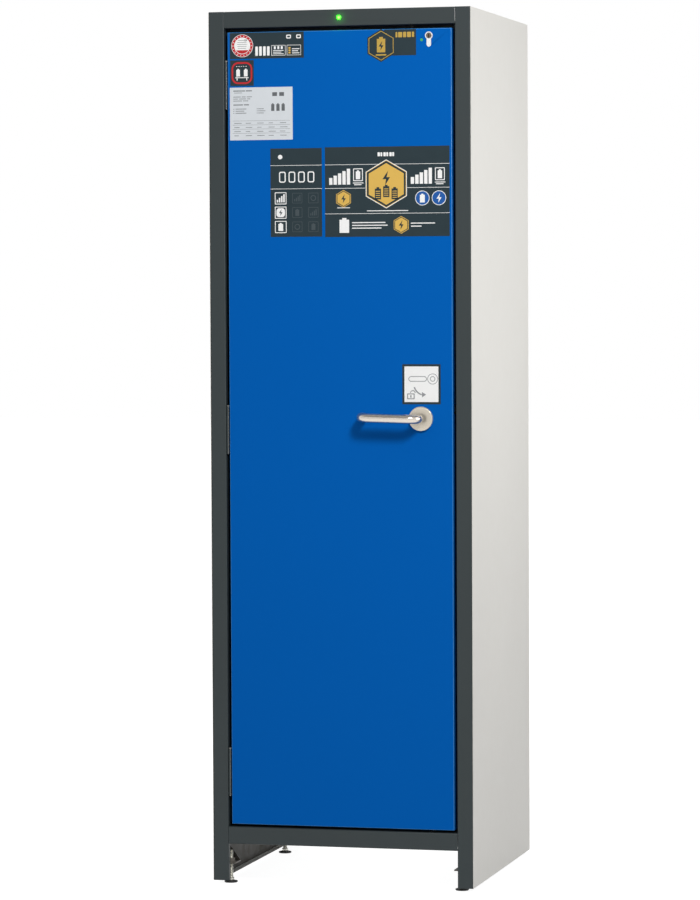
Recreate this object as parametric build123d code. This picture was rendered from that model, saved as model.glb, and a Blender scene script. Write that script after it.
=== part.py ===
from build123d import *
import math
import os

# Battery safety cabinet, in millimetres. +X is to the right as you face the door, +Y goes back, +Z up.
# The origin is on the floor, at the middle of the footprint with the door lever counted in.

# Outer body
body_width = 599.0
body_depth = 615.0
body_height = 1953.0
underside_gap = 8.0  # under the pillars with the feet screwed in

# Sheet metal
panel_sheet = 1.0
frame_sheet = 1.5
skin_sheet = 1.2
fold_radius = 0.8  # inside a fold
board_gap = 0.5  # between an insulating board and the sheet outside it

# Front frame
pillar_face = 36.0
top_rail_height = 36.5
kick_rail_height = 39.0
kick_rail_bottom = 91.0  # the pallet-truck space is below
frame_lip = 20.0
pillar_foot_lip = 12.0

# Fire insulation and the light-grey lining in front of it
side_board = 72.0
rear_board = 35.0
floor_board = 71.0
ceiling_board = 72.0
lining = 1.0
roof_recess = 27.0
service_void = 40.0  # between the ceiling board and the roof sheet

# Door
door_recess = 2.0
door_thickness = 50.0
door_side_gap = 7.5
door_top_gap = 9.5
door_bottom_gap = 6.0
door_edge_radius = 2.0
seal_space = 2.0
seal_width = 22.0
seal_clearance = 0.3
seal_margin = 4.0

# Hinges
hinge_length = 105.0
hinge_end = 117.0  # from the end of the door to the middle of the hinge
hinge_leaf = 2.5
hinge_leaf_width = 30.0
knuckle_clearance = 0.35
hinge_pin_radius = 2.0
run_clearance = 0.05

# Lever handle on its round rose
lever_from_edge = 71.6  # spindle axis to the lock edge of the door
lever_height = 1048.0
lever_tube = 20.0
lever_length = 129.0
lever_standoff = 52.0
lever_bend = 22.0
lever_end_gap = 10.0
lever_tilt = 1.6  # upwards at rest, where the spring holds it against its stop
rose_diameter = 54.0
rose_height = 8.0
rose_wall = 2.0
spindle_square = 8.0
spindle_grip = 16.0

# Rack and pinion of the three-way lock
gear_module = 2.0
pinion_teeth = 14
pressure_angle = 20.0
addendum = 0.8  # in modules
root_clearance = 0.2  # in modules
backlash = 0.2
lever_turn = 60.0
rack_body = 8.0
rack_thickness = 6.8
layer_gap = 0.4
hub_radius = 10.0

# Lock case and bolts
case_wall = 1.5
case_spring_room = 4.8
case_half_height = 40.0
case_left = 34.0
case_right = 42.0
slide_clearance = 0.1
bolt_diameter = 12.0
bolt_length = 60.0
bolt_to_keeper = 1.5
latch_height = 20.0
latch_length = 20.0
keeper_sheet = 2.0
guide_length = 30.0
channel_width = 16.0

# Profile cylinder and its indicator
cylinder_from_edge = 51.2
cylinder_below_top = 16.0
cylinder_radius = 8.5
cylinder_height = 33.0
cylinder_tongue = 10.0
cylinder_length = 31.0
cylinder_proud = 1.0
plug_radius = 6.45
plug_tail_radius = 4.0
flag_reach = 23.0
flag_sheet = 1.5
window_offset = (-16.5, -9.0)
window_radius = 3.2

# Levelling feet
foot_inset = 32.5
front_foot_depth = 30.0
rear_foot_inset = 125.0
pad_diameter = 30.0
pad_height = 5.0
stud_diameter = 10.0
stud_top = 75.0
stud_hex = 15.0
bracket_sheet = 3.0
bracket_level = 44.0

# Inside fittings
upright_width = 25.0
upright_depth = 10.0
upright_front_gap = 54.5
upright_rear_gap = 77.5
upright_end_gap = 35.0
slot_pitch = 50.0
slot_width = 4.0
slot_height = 15.0
lowest_shelf = 560.0
shelf_spacing = 390.0
shelf_count = 3
shelf_rim = 25.0
shelf_side_gap = 1.5
shelf_front_gap = 14.5
duct_width = 80.0
duct_depth = 20.0
duct_sheet = 1.5
duct_gap = 5.0
duct_foot_gap = 20.0
duct_slots = 5
duct_slot_pitch = 20.0
hood_margin = 8.0
hood_height = 30.0
sump_height = 50.0

# Roof fittings
spigot_radius = 37.5
spigot_wall = 1.2
spigot_height = 25.0
spigot_from_rear = 85.0
ring_wall = 10.0
ring_height = 40.0
gland_across = 24.0
gland_bore = 5.0
led_radius = 4.0
led_offset = 1.2
gland_from_side = 60.0

# Alarm and supply unit, and the smoke sensor
unit_from_side = 75.0
unit_from_front = 44.5
unit_length = 180.0
unit_width = 110.0
unit_height = 26.0
unit_lid_height = 6.0
unit_lid_step = 4.0
unit_corner = 6.0
unit_inlets = 4
unit_inlet_radius = 7.0
unit_inlet_length = 12.0
sensor_from_side = 115.0
sensor_from_front = 194.5
sensor_radius = 50.0
sensor_height = 35.0

# Levels and planes that follow from the sizes above
half_width = body_width / 2
lever_reach = lever_standoff + lever_tube / 2 - door_recess
front_y = -(body_depth - lever_reach) / 2
pan_top = kick_rail_bottom + 2 * panel_sheet
inside_bottom = pan_top + floor_board + lining
roof_bottom = body_height - roof_recess - panel_sheet
void_bottom = roof_bottom - service_void
inside_top = void_bottom - ceiling_board - lining
board_outer = half_width - panel_sheet - board_gap
board_inner = board_outer - side_board
inside_half = board_inner - lining
rebate_half = half_width - pillar_face
rebate_depth = door_recess + door_thickness + seal_space
inside_front = rebate_depth + frame_sheet
rear_board_back = body_depth - panel_sheet - board_gap
rear_board_front = rear_board_back - rear_board
inside_back = rear_board_front - lining
kick_rail_top = kick_rail_bottom + kick_rail_height
top_rail_bottom = body_height - top_rail_height
door_half = rebate_half - door_side_gap
door_bottom = kick_rail_top + door_bottom_gap
door_top = top_rail_bottom - door_top_gap
door_back = door_recess + door_thickness
core_front = door_recess + skin_sheet
lever_x = door_half - lever_from_edge
pitch_radius = gear_module * pinion_teeth / 2
front_layer = core_front + case_wall + case_spring_room
rear_layer = front_layer + rack_thickness + layer_gap
cover_front = rear_layer + rack_thickness + layer_gap
bolt_travel = pitch_radius * math.radians(lever_turn)
rack_line = pitch_radius + (addendum + root_clearance) * gear_module + rack_body / 2
bolt_axis_depth = front_layer + rack_thickness / 2
channel_back = bolt_axis_depth + channel_width / 2
cylinder_x = door_half - cylinder_from_edge
cylinder_z = door_top - cylinder_below_top
foot_x = half_width - foot_inset
rear_foot_depth = body_depth - rear_foot_inset
upright_front = inside_front + upright_front_gap
upright_rear = inside_back - upright_rear_gap
spigot_depth = body_depth - spigot_from_rear
hinge_heights = (door_bottom + hinge_end, (door_bottom + door_top) / 2, door_top - hinge_end)
shelf_heights = [lowest_shelf + number * shelf_spacing for number in range(shelf_count)]
shelf_half = inside_half - upright_depth - shelf_side_gap
shelf_front = inside_front + shelf_front_gap
shelf_back = inside_back - duct_depth - duct_gap


def back(depth):
    """Y of a point this far behind the front of the frame."""
    return front_y + depth


def block(x0, x1, depth0, depth1, z0, z1):
    """A block between two corners, its Y given as depth behind the frame's front."""
    middle = Pos((x0 + x1) / 2, back((depth0 + depth1) / 2), (z0 + z1) / 2)
    return middle * Box(x1 - x0, depth1 - depth0, z1 - z0)


def elevation(depth):
    """A drawing plane seen from the front, local x and y being X and Z."""
    return Plane(origin=(0, back(depth), 0), x_dir=(1, 0, 0), z_dir=(0, -1, 0))


def from_front(sketch, depth0, depth1):
    """A front-view sketch given thickness from one depth to another."""
    return extrude(elevation(depth0) * sketch, amount=depth0 - depth1)


def round_bar(x, z, depth0, depth1, radius):
    """A round bar or hole that runs front to back."""
    return from_front(Pos(x, z) * Circle(radius), depth0, depth1)


def upright_bar(x, depth, z0, z1, radius):
    """A round bar or hole that stands upright."""
    return Pos(x, back(depth), z0) * extrude(Circle(radius), amount=z1 - z0)


def folded(points, sheet, side, plane, length):
    """Sheet metal folded along the corner points of its outer face."""
    with BuildSketch(plane) as section:
        with BuildLine():
            outer_face = FilletPolyline(*points, radius=fold_radius + sheet)
            offset(outer_face, amount=sheet, side=side)
        make_face()
    return extrude(section.sketch, amount=length)


def left_hand(right_hand):
    return mirror(right_hand, about=Plane.YZ)


def side_panel():
    """Right-hand side: one sheet with a rear return and hems at its head and foot."""
    outline = [
        (half_width, back(0)),
        (half_width, back(body_depth)),
        (half_width - frame_lip * 1.5, back(body_depth)),
    ]
    height = body_height - underside_gap
    panel = folded(outline, panel_sheet, Side.LEFT, Plane.XY.offset(underside_gap), height)
    wall = half_width - panel_sheet / 2
    hem = wall - frame_lip * 0.75
    hem_front = frame_lip + frame_sheet
    hem_back = body_depth - frame_lip
    for hem_z in (underside_gap, body_height - panel_sheet):
        panel += block(hem, wall, hem_front, hem_back, hem_z, hem_z + panel_sheet)
    return panel


def rear_panel():
    inner = body_depth - frame_lip * 0.75
    outline = [
        (back(inner), kick_rail_bottom),
        (back(body_depth), kick_rail_bottom),
        (back(body_depth), body_height),
        (back(inner), body_height),
    ]
    reach = half_width - frame_lip * 1.5
    plane = Plane.YZ.offset(-reach)
    return folded(outline, panel_sheet, Side.LEFT, plane, 2 * reach)


def pillar():
    """Right-hand pillar: front face, door rebate and the flange that the door seals on."""
    outer = half_width - panel_sheet
    outline = [
        (outer, back(frame_lip)),
        (outer, back(0)),
        (rebate_half, back(0)),
        (rebate_half, back(rebate_depth)),
        (board_inner, back(rebate_depth)),
    ]
    height = body_height - underside_gap
    post = folded(outline, frame_sheet, Side.RIGHT, Plane.XY.offset(underside_gap), height)
    inner = board_inner - frame_sheet
    behind = inside_front + frame_sheet
    return_back = rebate_half + frame_sheet + slide_clearance
    post -= block(inner, return_back, pillar_foot_lip, behind, 0, pan_top)
    past_fold = rebate_depth - 2 * frame_sheet - fold_radius
    post -= block(inner, rebate_half, past_fold, behind, 0, kick_rail_top)
    post -= block(inner, rebate_half, past_fold, behind, top_rail_bottom, body_height + 1)
    latch_z = lever_height + rack_line
    slot_half = latch_height / 2 + bolt_to_keeper
    keeper_slot = block(
        rebate_half - frame_sheet,
        rebate_half + 2 * frame_sheet,
        rear_layer - bolt_to_keeper,
        cover_front + bolt_to_keeper,
        latch_z - slot_half,
        latch_z + slot_half,
    )
    return post - keeper_slot


def rail(outline, side):
    """A folded rail between the pillars, its inner flange cut back beside them."""
    beam = folded(outline, frame_sheet, side, Plane.YZ.offset(-rebate_half), 2 * rebate_half)
    past_fold = rebate_depth - 2 * frame_sheet - fold_radius
    behind = inside_front + frame_sheet
    for side_x in (-1, 1):
        x0, x1 = sorted((side_x * board_inner, side_x * (rebate_half + 1)))
        beam -= block(x0, x1, past_fold, behind, 0, body_height - 2 * frame_sheet)
    return beam


def top_rail():
    outline = [
        (back(frame_lip), body_height),
        (back(0), body_height),
        (back(0), top_rail_bottom),
        (back(rebate_depth), top_rail_bottom),
        (back(rebate_depth), inside_top),
    ]
    beam = rail(outline, Side.LEFT)
    bolt_x = lever_x - rack_line
    hole = bolt_diameter / 2 + bolt_to_keeper
    beam -= upright_bar(bolt_x, bolt_axis_depth, inside_top, body_height - frame_lip, hole)
    return beam - round_bar(*led_place(), -1, frame_sheet + 1, led_radius + run_clearance)


def kick_rail():
    outline = [
        (back(frame_lip), kick_rail_bottom),
        (back(0), kick_rail_bottom),
        (back(0), kick_rail_top),
        (back(rebate_depth), kick_rail_top),
        (back(rebate_depth), inside_bottom),
    ]
    beam = rail(outline, Side.RIGHT)
    bolt_x = lever_x + rack_line
    hole = bolt_diameter / 2 + bolt_to_keeper
    below = kick_rail_top - kick_rail_height / 2
    return beam - upright_bar(bolt_x, bolt_axis_depth, below, kick_rail_top + 1, hole)


def roof_panel():
    """Recessed roof sheet whose folded skirt stands on the ceiling board."""
    half = half_width - panel_sheet - slide_clearance
    front = inside_front + frame_sheet
    rear = body_depth - panel_sheet - board_gap
    lid = block(-half, half, front, rear, void_bottom, roof_bottom + panel_sheet)
    inner = half - panel_sheet
    lid -= block(
        -inner, inner, front + panel_sheet, rear - panel_sheet, void_bottom - 1, roof_bottom
    )
    lid -= upright_bar(0, spigot_depth, roof_bottom - 1, body_height, spigot_radius + slide_clearance)
    gland_x, gland_depth = gland_place()
    gland_hole = gland_across / 2 - 2 + slide_clearance
    return lid - upright_bar(gland_x, gland_depth, roof_bottom - 1, body_height, gland_hole)


def floor_pan():
    half = half_width - panel_sheet - slide_clearance
    front = inside_front
    rear = body_depth - panel_sheet
    pan = block(-half, half, front, rear, pan_top - panel_sheet, pan_top)
    rear_corner = rear - 2 * panel_sheet - fold_radius
    return pan - block(-half, half, rear_corner, rear + 1, pan_top - 2 * panel_sheet, pan_top + 1)


def side_insulation():
    """Right-hand board with the nose that fills the pillar."""
    gap = fold_radius + board_gap
    behind_fold = inside_front + board_gap
    nose_inner = rebate_half + frame_sheet + keeper_sheet + board_gap
    outer = board_outer
    nose_outer = half_width - panel_sheet - frame_sheet - board_gap
    board = block(board_inner, outer, behind_fold, rear_board_back - gap, pan_top, void_bottom)
    nose = block(
        nose_inner, nose_outer, frame_sheet + gap, behind_fold, pan_top, void_bottom
    )
    return board + nose


def rear_insulation():
    return block(
        -board_inner, board_inner, rear_board_front, rear_board_back, pan_top + 1, void_bottom
    )


def ceiling_insulation():
    front = inside_front + board_gap
    board = block(
        -board_inner, board_inner, front, rear_board_front, inside_top + lining, void_bottom
    )
    board -= upright_bar(
        0, spigot_depth, inside_top, void_bottom, spigot_radius + slide_clearance
    )
    ring_radius = spigot_radius + ring_wall + slide_clearance
    ring_bottom = void_bottom - ring_height
    if ring_radius > rear_board_front - spigot_depth:
        channel = block(
            -ring_radius, ring_radius, spigot_depth, rear_board_front, ring_bottom, void_bottom
        )
        board -= channel
    return board - upright_bar(0, spigot_depth, ring_bottom, void_bottom, ring_radius)


def floor_insulation():
    front = inside_front + board_gap
    return block(
        -board_inner, board_inner, front, rear_board_front, pan_top, inside_bottom - lining
    )


def inner_lining():
    """Five lining sheets on the boards, each a separate piece."""
    right = block(inside_half, board_inner, inside_front, inside_back, inside_bottom, inside_top)
    rear = block(
        -board_inner, board_inner, inside_back, rear_board_front, inside_bottom, inside_top
    )
    floor = block(
        -board_inner, board_inner, inside_front, rear_board_front, inside_bottom - lining,
        inside_bottom,
    )
    ceiling = block(
        -board_inner, board_inner, inside_front, rear_board_front, inside_top,
        inside_top + lining,
    )
    tube = spigot_radius + slide_clearance
    ceiling -= upright_bar(0, spigot_depth, inside_top - 1, void_bottom, tube)
    return [right, left_hand(right), rear, floor, ceiling]


def fire_strips():
    """Strips in the rebate that swell in a fire and seal the door gap."""
    sheet = 1.5
    front = rebate_depth - 14
    behind = rebate_depth - 4
    post_bottom = kick_rail_top + sheet
    post_top = top_rail_bottom - sheet
    post = block(rebate_half - sheet, rebate_half, front, behind, post_bottom, post_top)
    end = rebate_half - sheet
    head = block(-end, end, front, behind, post_top, top_rail_bottom)
    foot = block(-end, end, front, behind, kick_rail_top, post_bottom)
    return [post, left_hand(post), head, foot]


def keeper_plates():
    """Keepers behind the rebate for the two rods and the side latch."""
    hole = bolt_diameter / 2 + 1
    half = bolt_diameter + 8
    depth0 = frame_sheet + fold_radius
    depth1 = bolt_axis_depth + bolt_diameter
    head_x = lever_x - rack_line
    head_z = top_rail_bottom + frame_sheet
    head = block(head_x - half, head_x + half, depth0, depth1, head_z, head_z + keeper_sheet)
    head -= upright_bar(head_x, bolt_axis_depth, head_z - 1, head_z + keeper_sheet + 1, hole)
    foot_bolt_x = lever_x + rack_line
    foot_z = kick_rail_top - frame_sheet - keeper_sheet
    foot = block(
        foot_bolt_x - half, foot_bolt_x + half, depth0, depth1, foot_z, foot_z + keeper_sheet
    )
    foot -= upright_bar(foot_bolt_x, bolt_axis_depth, foot_z - 1, foot_z + keeper_sheet + 1, hole)
    latch_z = lever_height + rack_line
    side_x = rebate_half + frame_sheet
    side = block(side_x, side_x + keeper_sheet, depth0, cover_front + 8, latch_z - 28, latch_z + 28)
    side -= block(
        side_x - 1,
        side_x + keeper_sheet + 1,
        rear_layer - 1,
        cover_front + 1,
        latch_z - latch_height / 2 - 1,
        latch_z + latch_height / 2 + 1,
    )
    return [head, foot, side]


def foot_bracket(depth):
    """Right-hand galvanised bracket: side flange, foot plate with weld nut, and a gusset."""
    side_outer = half_width - panel_sheet
    side_inner = side_outer - bracket_sheet
    plate_inner = foot_x - pad_diameter / 2
    plate_front = depth - 14
    flange_front = depth - 8
    behind = depth + 28
    plate_top = bracket_level + bracket_sheet
    head = pan_top - panel_sheet
    bracket = block(side_inner, side_outer, flange_front, behind, bracket_level, head)
    bracket += block(plate_inner, side_inner, plate_front, behind, bracket_level, plate_top)
    gusset = make_face(
        Polyline(
            (side_inner, plate_top),
            (side_inner, head),
            (side_inner - frame_lip / 2, head),
            (plate_inner, plate_top),
            close=True,
        )
    )
    bracket += from_front(gusset, behind - bracket_sheet, behind)
    nut_top = plate_top + stud_diameter * 0.8
    bracket += upright_bar(foot_x, depth, plate_top, nut_top, stud_diameter * 0.9)
    thread = stud_diameter / 2 + run_clearance
    return bracket - upright_bar(foot_x, depth, bracket_level - 1, nut_top + 1, thread)


def foot_pad(x, depth):
    """Moulded pad with a tapered top and a socket for the stud."""
    rim = pad_diameter / 2
    socket = stud_diameter * 0.4 + run_clearance
    shoulder = stud_diameter * 0.7
    outline = Polyline(
        (0, 0),
        (rim - 1, 0),
        (rim, 1),
        (rim, pad_height * 0.5),
        (shoulder, pad_height),
        (socket, pad_height),
        (socket, pad_height * 0.3),
        (0, pad_height * 0.3),
        close=True,
    )
    pad = revolve(Plane.XZ * make_face(outline), axis=Axis.Z)
    return Pos(x, back(depth), 0) * pad


def foot_stud(x, depth):
    """Threaded stud with a hexagon to turn it by, its neck held in the pad."""
    neck_bottom = pad_height * 0.3 + run_clearance
    hex_bottom = pad_height + run_clearance * 4
    hex_top = hex_bottom + stud_diameter * 0.6
    hexagon = RegularPolygon(stud_hex / 2, 6, major_radius=False)
    stud = extrude(Plane.XY.offset(hex_bottom) * hexagon, amount=hex_top - hex_bottom)
    neck = extrude(Circle(stud_diameter * 0.4), amount=hex_bottom - neck_bottom)
    stud += Pos(0, 0, neck_bottom) * neck
    thread = extrude(Circle(stud_diameter / 2), amount=stud_top - hex_top)
    thread = chamfer(thread.edges().group_by(Axis.Z)[-1], length=stud_diameter / 10)
    stud += Pos(0, 0, hex_top) * thread
    return Pos(x, back(depth), 0) * stud


def shelf_uprights():
    """Four slotted channel strips on the side linings."""
    bottom = inside_bottom + upright_end_gap
    top = inside_top - upright_end_gap
    strips = []
    for depth in (upright_front, upright_rear):
        face = inside_half - upright_depth
        outline = [
            (inside_half, back(depth - upright_width / 2)),
            (face, back(depth - upright_width / 2)),
            (face, back(depth + upright_width / 2)),
            (inside_half, back(depth + upright_width / 2)),
        ]
        strip = folded(outline, frame_sheet, Side.RIGHT, Plane.XY.offset(bottom), top - bottom)
        count = int((top - bottom) / slot_pitch)
        slots = []
        for number in range(count):
            middle = bottom + slot_pitch * (number + 0.5)
            slots.append(
                block(
                    face - 1,
                    face + frame_sheet + 1,
                    depth - slot_width / 2,
                    depth + slot_width / 2,
                    middle - slot_height / 2,
                    middle + slot_height / 2,
                )
            )
        strip -= slots
        strips += [strip, left_hand(strip)]
    return strips


def slot_under(height):
    """Middle of the upright slot that a shelf near this height hooks into."""
    bottom = inside_bottom + upright_end_gap
    number = round((height - bottom) / slot_pitch - 0.5)
    return bottom + slot_pitch * (number + 0.5)


def perforations(width, depth):
    """Long drain and air slots, in rows over a shelf."""
    with BuildSketch() as pattern:
        with GridLocations(width / 4, depth / 5, 4, 5):
            Rectangle(width / 6, depth / 48)
    return pattern.sketch


def perforated_tray(half, front, rear, bottom, top, sheet):
    """A sheet with a folded-down rim and rows of slots."""
    tray = block(-half, half, front, rear, bottom, top)
    tray -= block(-half + sheet, half - sheet, front + sheet, rear - sheet, bottom - 1, top - sheet)
    plane = Plane.XY.offset(top - sheet - 1)
    middle = Pos(0, back((front + rear) / 2))
    pattern = perforations(2 * half, rear - front)
    return tray - extrude(plane * middle * pattern, amount=sheet + 2)


def shelves():
    trays = []
    for height in shelf_heights:
        seat = slot_under(height) + bolt_to_keeper
        trays.append(
            perforated_tray(
                shelf_half, shelf_front, shelf_back, seat, seat + shelf_rim, skin_sheet
            )
        )
    return trays


def shelf_clips():
    """Hooks in the upright slots, one under each corner of each shelf."""
    clips = []
    face = inside_half - upright_depth
    hook = slot_width / 2 - slide_clearance
    for height in shelf_heights:
        middle = slot_under(height)
        seat = middle + bolt_to_keeper
        for depth in (upright_front, upright_rear):
            tab = block(
                shelf_half - 12, face, depth - 9, depth + 9, seat - bracket_sheet, seat
            )
            tab += block(
                face,
                face + frame_sheet + 3,
                depth - hook,
                depth + hook,
                middle - slot_height / 2 + slide_clearance,
                seat,
            )
            clips += [tab, left_hand(tab)]
    return clips


def sump_tray():
    """Leak-proof tray on the floor of the cabinet."""
    top = inside_bottom + sump_height
    tray = block(-shelf_half, shelf_half, shelf_front, shelf_back, inside_bottom, top)
    upright_edges = tray.edges().filter_by(Axis.Z)
    tray = fillet(upright_edges, radius=6)
    pool = block(
        -shelf_half + frame_sheet,
        shelf_half - frame_sheet,
        shelf_front + frame_sheet,
        shelf_back - frame_sheet,
        inside_bottom + frame_sheet,
        top + 1,
    )
    return tray - fillet(pool.edges().filter_by(Axis.Z), radius=6 - frame_sheet)


def sump_insert():
    """Perforated cover that hangs in the mouth of the sump tray."""
    top = inside_bottom + sump_height + skin_sheet
    rim = 10.0
    inside = frame_sheet + 6
    return perforated_tray(
        shelf_half - inside, shelf_front + inside, shelf_back - inside, top - rim, top, skin_sheet
    ) + block_frame(inside, top)


def block_frame(inside, top):
    """The insert's flat lip, which lies on the rim of the sump tray."""
    lip = block(-shelf_half, shelf_half, shelf_front, shelf_back, top - skin_sheet, top)
    hole = inside + skin_sheet / 2
    return lip - block(
        -shelf_half + hole,
        shelf_half - hole,
        shelf_front + hole,
        shelf_back - hole,
        top - skin_sheet - 1,
        top + 1,
    )


def duct_plates():
    """The flat plates of the duct below its hood: front, two sides and foot."""
    half = duct_width / 2
    inner = half - duct_sheet
    front = inside_back - duct_depth
    behind = front + duct_sheet
    foot = inside_bottom + sump_height + duct_foot_gap
    top = inside_top - hood_height
    face = block(-half, half, front, behind, foot, top)
    for row in range(duct_slots):
        z = foot + duct_slot_pitch * (row + 1.25)
        slot = Pos(0, z) * SlotOverall(duct_width * 0.6, duct_slot_pitch * 0.4)
        face -= from_front(slot, front - 1, behind + 1)
    side = block(inner, half, behind, inside_back, foot, top)
    floor = block(-inner, inner, behind, inside_back, foot, foot + duct_sheet)
    return [face, side, left_hand(side), floor]


def hood_plates():
    """The flat plates of the hood that joins the duct to the exhaust spigot."""
    half = spigot_radius + hood_margin
    inner = half - duct_sheet
    mouth = duct_width / 2 - duct_sheet
    front = spigot_depth - half
    behind = inside_back - duct_depth + duct_sheet
    bottom = inside_top - hood_height
    floor_top = bottom + duct_sheet
    floor = block(-half, half, front, behind, bottom, floor_top)
    strip = block(mouth, half, behind, inside_back, bottom, floor_top)
    face = block(-half, half, front, front + duct_sheet, floor_top, inside_top)
    side = block(inner, half, front + duct_sheet, inside_back, floor_top, inside_top)
    return [floor, strip, left_hand(strip), face, side, left_hand(side)]


def air_duct():
    """Extraction duct on the rear lining, spot-welded from flat plates."""
    return duct_plates() + hood_plates()


def exhaust_spigot():
    """Exhaust tube through the ceiling board, with the flange that lies on the roof."""
    top = roof_bottom + panel_sheet + spigot_height
    flange_top = roof_bottom + 2 * panel_sheet
    tube = upright_bar(0, spigot_depth, inside_top, top, spigot_radius)
    tube += upright_bar(
        0, spigot_depth, roof_bottom + panel_sheet, flange_top, spigot_radius + 12
    )
    return tube - upright_bar(
        0, spigot_depth, inside_top - 1, top + 1, spigot_radius - spigot_wall
    )


def fire_ring():
    """Intumescent ring round the spigot, which closes it in a fire."""
    bottom = void_bottom - ring_height
    ring = upright_bar(0, spigot_depth, bottom, void_bottom, spigot_radius + ring_wall)
    ring -= upright_bar(
        0, spigot_depth, bottom - 1, void_bottom + 1, spigot_radius + slide_clearance
    )
    behind = rear_board_front
    return ring - block(-half_width, half_width, behind, behind + half_width, 0, body_height)


def gland_place():
    return inside_half - gland_from_side, spigot_depth


def cable_gland():
    """Cable gland screwed through the roof, and its lock nut under it."""
    x, depth = gland_place()
    thread = gland_across / 2 - 2
    seat = roof_bottom + panel_sheet
    hexagon = RegularPolygon(gland_across / 2, 6, major_radius=False)
    body = extrude(Plane.XY.offset(seat) * hexagon, amount=7)
    body += Pos(0, 0, seat - 12) * extrude(Circle(thread), amount=12)
    cap = extrude(Circle(thread + 1), amount=13)
    cap = chamfer(cap.edges().group_by(Axis.Z)[-1], length=4)
    body += Pos(0, 0, seat + 7) * cap
    body -= Pos(0, 0, seat - 13) * extrude(Circle(gland_bore), amount=40)
    nut = extrude(Plane.XY.offset(roof_bottom - 5) * hexagon, amount=5)
    nut -= Pos(0, 0, roof_bottom - 6) * extrude(Circle(thread + run_clearance), amount=7)
    place = Pos(x, back(depth), 0)
    return [place * body, place * nut]


def control_unit():
    """Alarm and supply unit in the service void: a moulded box, its lid and its cable inlets."""
    left = unit_from_side - inside_half
    right = left + unit_length
    front = inside_front + unit_from_front
    behind = front + unit_width
    top = void_bottom + unit_height
    box = block(left, right, front, behind, void_bottom, top)
    box = fillet(box.edges().filter_by(Axis.Z), radius=unit_corner)
    step = unit_lid_step
    lid = block(left + step, right - step, front + step, behind - step, top, top + unit_lid_height)
    lid = fillet(lid.edges().filter_by(Axis.Z), radius=unit_corner - 1)
    unit = box + lid
    pitch = unit_length / (unit_inlets + 1)
    for number in range(unit_inlets):
        x = left + pitch * (number + 1)
        z = void_bottom + unit_height / 2
        unit += round_bar(x, z, front - unit_inlet_length, front + 1, unit_inlet_radius)
    return unit


def led_place():
    return led_offset, body_height - top_rail_height / 2


def status_led():
    """Green lamp in the top rail: a domed lens, a collar behind the sheet and its barrel."""
    outline = Polyline(
        (0, -1.5),
        (led_radius * 0.6, -1.2),
        (led_radius, 0),
        (led_radius, frame_sheet),
        (led_radius + 2, frame_sheet),
        (led_radius + 2, frame_sheet + 2),
        (led_radius + 1, frame_sheet + 2),
        (led_radius + 1, frame_sheet + 14),
        (0, frame_sheet + 14),
        close=True,
    )
    lamp = revolve(make_face(outline), axis=Axis.Y)
    x, z = led_place()
    return Pos(x, back(0), z) * lamp


def smoke_sensor():
    """Round smoke and heat sensor under the ceiling lining: base, waist and sensing cap."""
    base = sensor_radius
    waist = sensor_radius * 0.68
    cap = sensor_radius * 0.52
    drop = sensor_height
    outline = Polyline(
        (0, 0),
        (base, 0),
        (base, -drop * 0.26),
        (base - drop * 0.17, -drop * 0.4),
        (waist, -drop * 0.49),
        (waist - drop * 0.06, -drop * 0.86),
        (cap, -drop),
        (0, -drop),
        close=True,
    )
    sensor = revolve(Plane.XZ * make_face(outline), axis=Axis.Z)
    x = sensor_from_side - inside_half
    return Pos(x, back(inside_front + sensor_from_front), inside_top) * sensor


def hinge_axis():
    """X and depth of the hinge pins, in the middle of the door gap."""
    knuckle = door_side_gap / 2 - knuckle_clearance
    return -rebate_half + door_side_gap / 2, knuckle + 0.1


def hinge_half(middle, on_door):
    """One leaf with its share of the knuckle: the ends on the frame, the middle on the door."""
    pin_x, pin_depth = hinge_axis()
    knuckle = door_side_gap / 2 - knuckle_clearance
    bottom = middle - hinge_length / 2
    third = hinge_length / 3
    if on_door:
        x0, x1 = pin_x + door_side_gap / 2 - hinge_leaf, pin_x + door_side_gap / 2
        spans = [(bottom + third, bottom + 2 * third)]
    else:
        x0, x1 = pin_x - door_side_gap / 2, pin_x - door_side_gap / 2 + hinge_leaf
        spans = [(bottom, bottom + third), (bottom + 2 * third, bottom + hinge_length)]
    leaf_front = pin_depth + knuckle + 0.6
    leaf_back = leaf_front + hinge_leaf_width
    leaf = block(x0, x1, leaf_front, leaf_back, bottom, bottom + hinge_length)
    for low, high in spans:
        low += slide_clearance
        high -= slide_clearance
        leaf += block(x0, x1, pin_depth, leaf_front, low, high)
        leaf += upright_bar(pin_x, pin_depth, low, high, knuckle)
    bore = hinge_pin_radius + run_clearance
    return leaf - upright_bar(pin_x, pin_depth, bottom - 1, bottom + hinge_length + 1, bore)


def hinge_pins():
    pin_x, pin_depth = hinge_axis()
    pins = []
    for middle in hinge_heights:
        low = middle - hinge_length / 2
        pin = upright_bar(pin_x, pin_depth, low, low + hinge_length, hinge_pin_radius)
        pins.append(chamfer(pin.edges().filter_by(GeomType.CIRCLE), length=0.5))
    return pins


def cylinder_outline(allowance):
    """Front view of the profile cylinder: a round barrel with a tongue below it."""
    radius = cylinder_radius + allowance
    tongue = cylinder_tongue / 2 + allowance
    drop = cylinder_height - cylinder_radius - cylinder_tongue / 2
    shape = Circle(radius) + Pos(0, -drop / 2) * Rectangle(2 * tongue, drop)
    shape += Pos(0, -drop) * Circle(tongue)
    return Pos(cylinder_x, cylinder_z) * shape


def window_place():
    return cylinder_x + window_offset[0], cylinder_z + window_offset[1]


def latch_opening(allowance, depth0, depth1, x0, x1):
    """The space of the latch head, grown all round by an allowance."""
    latch_z = lever_height + rack_line
    half = latch_height / 2 + allowance
    return block(x0, x1, depth0 - allowance, depth1 + allowance, latch_z - half, latch_z + half)


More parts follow.
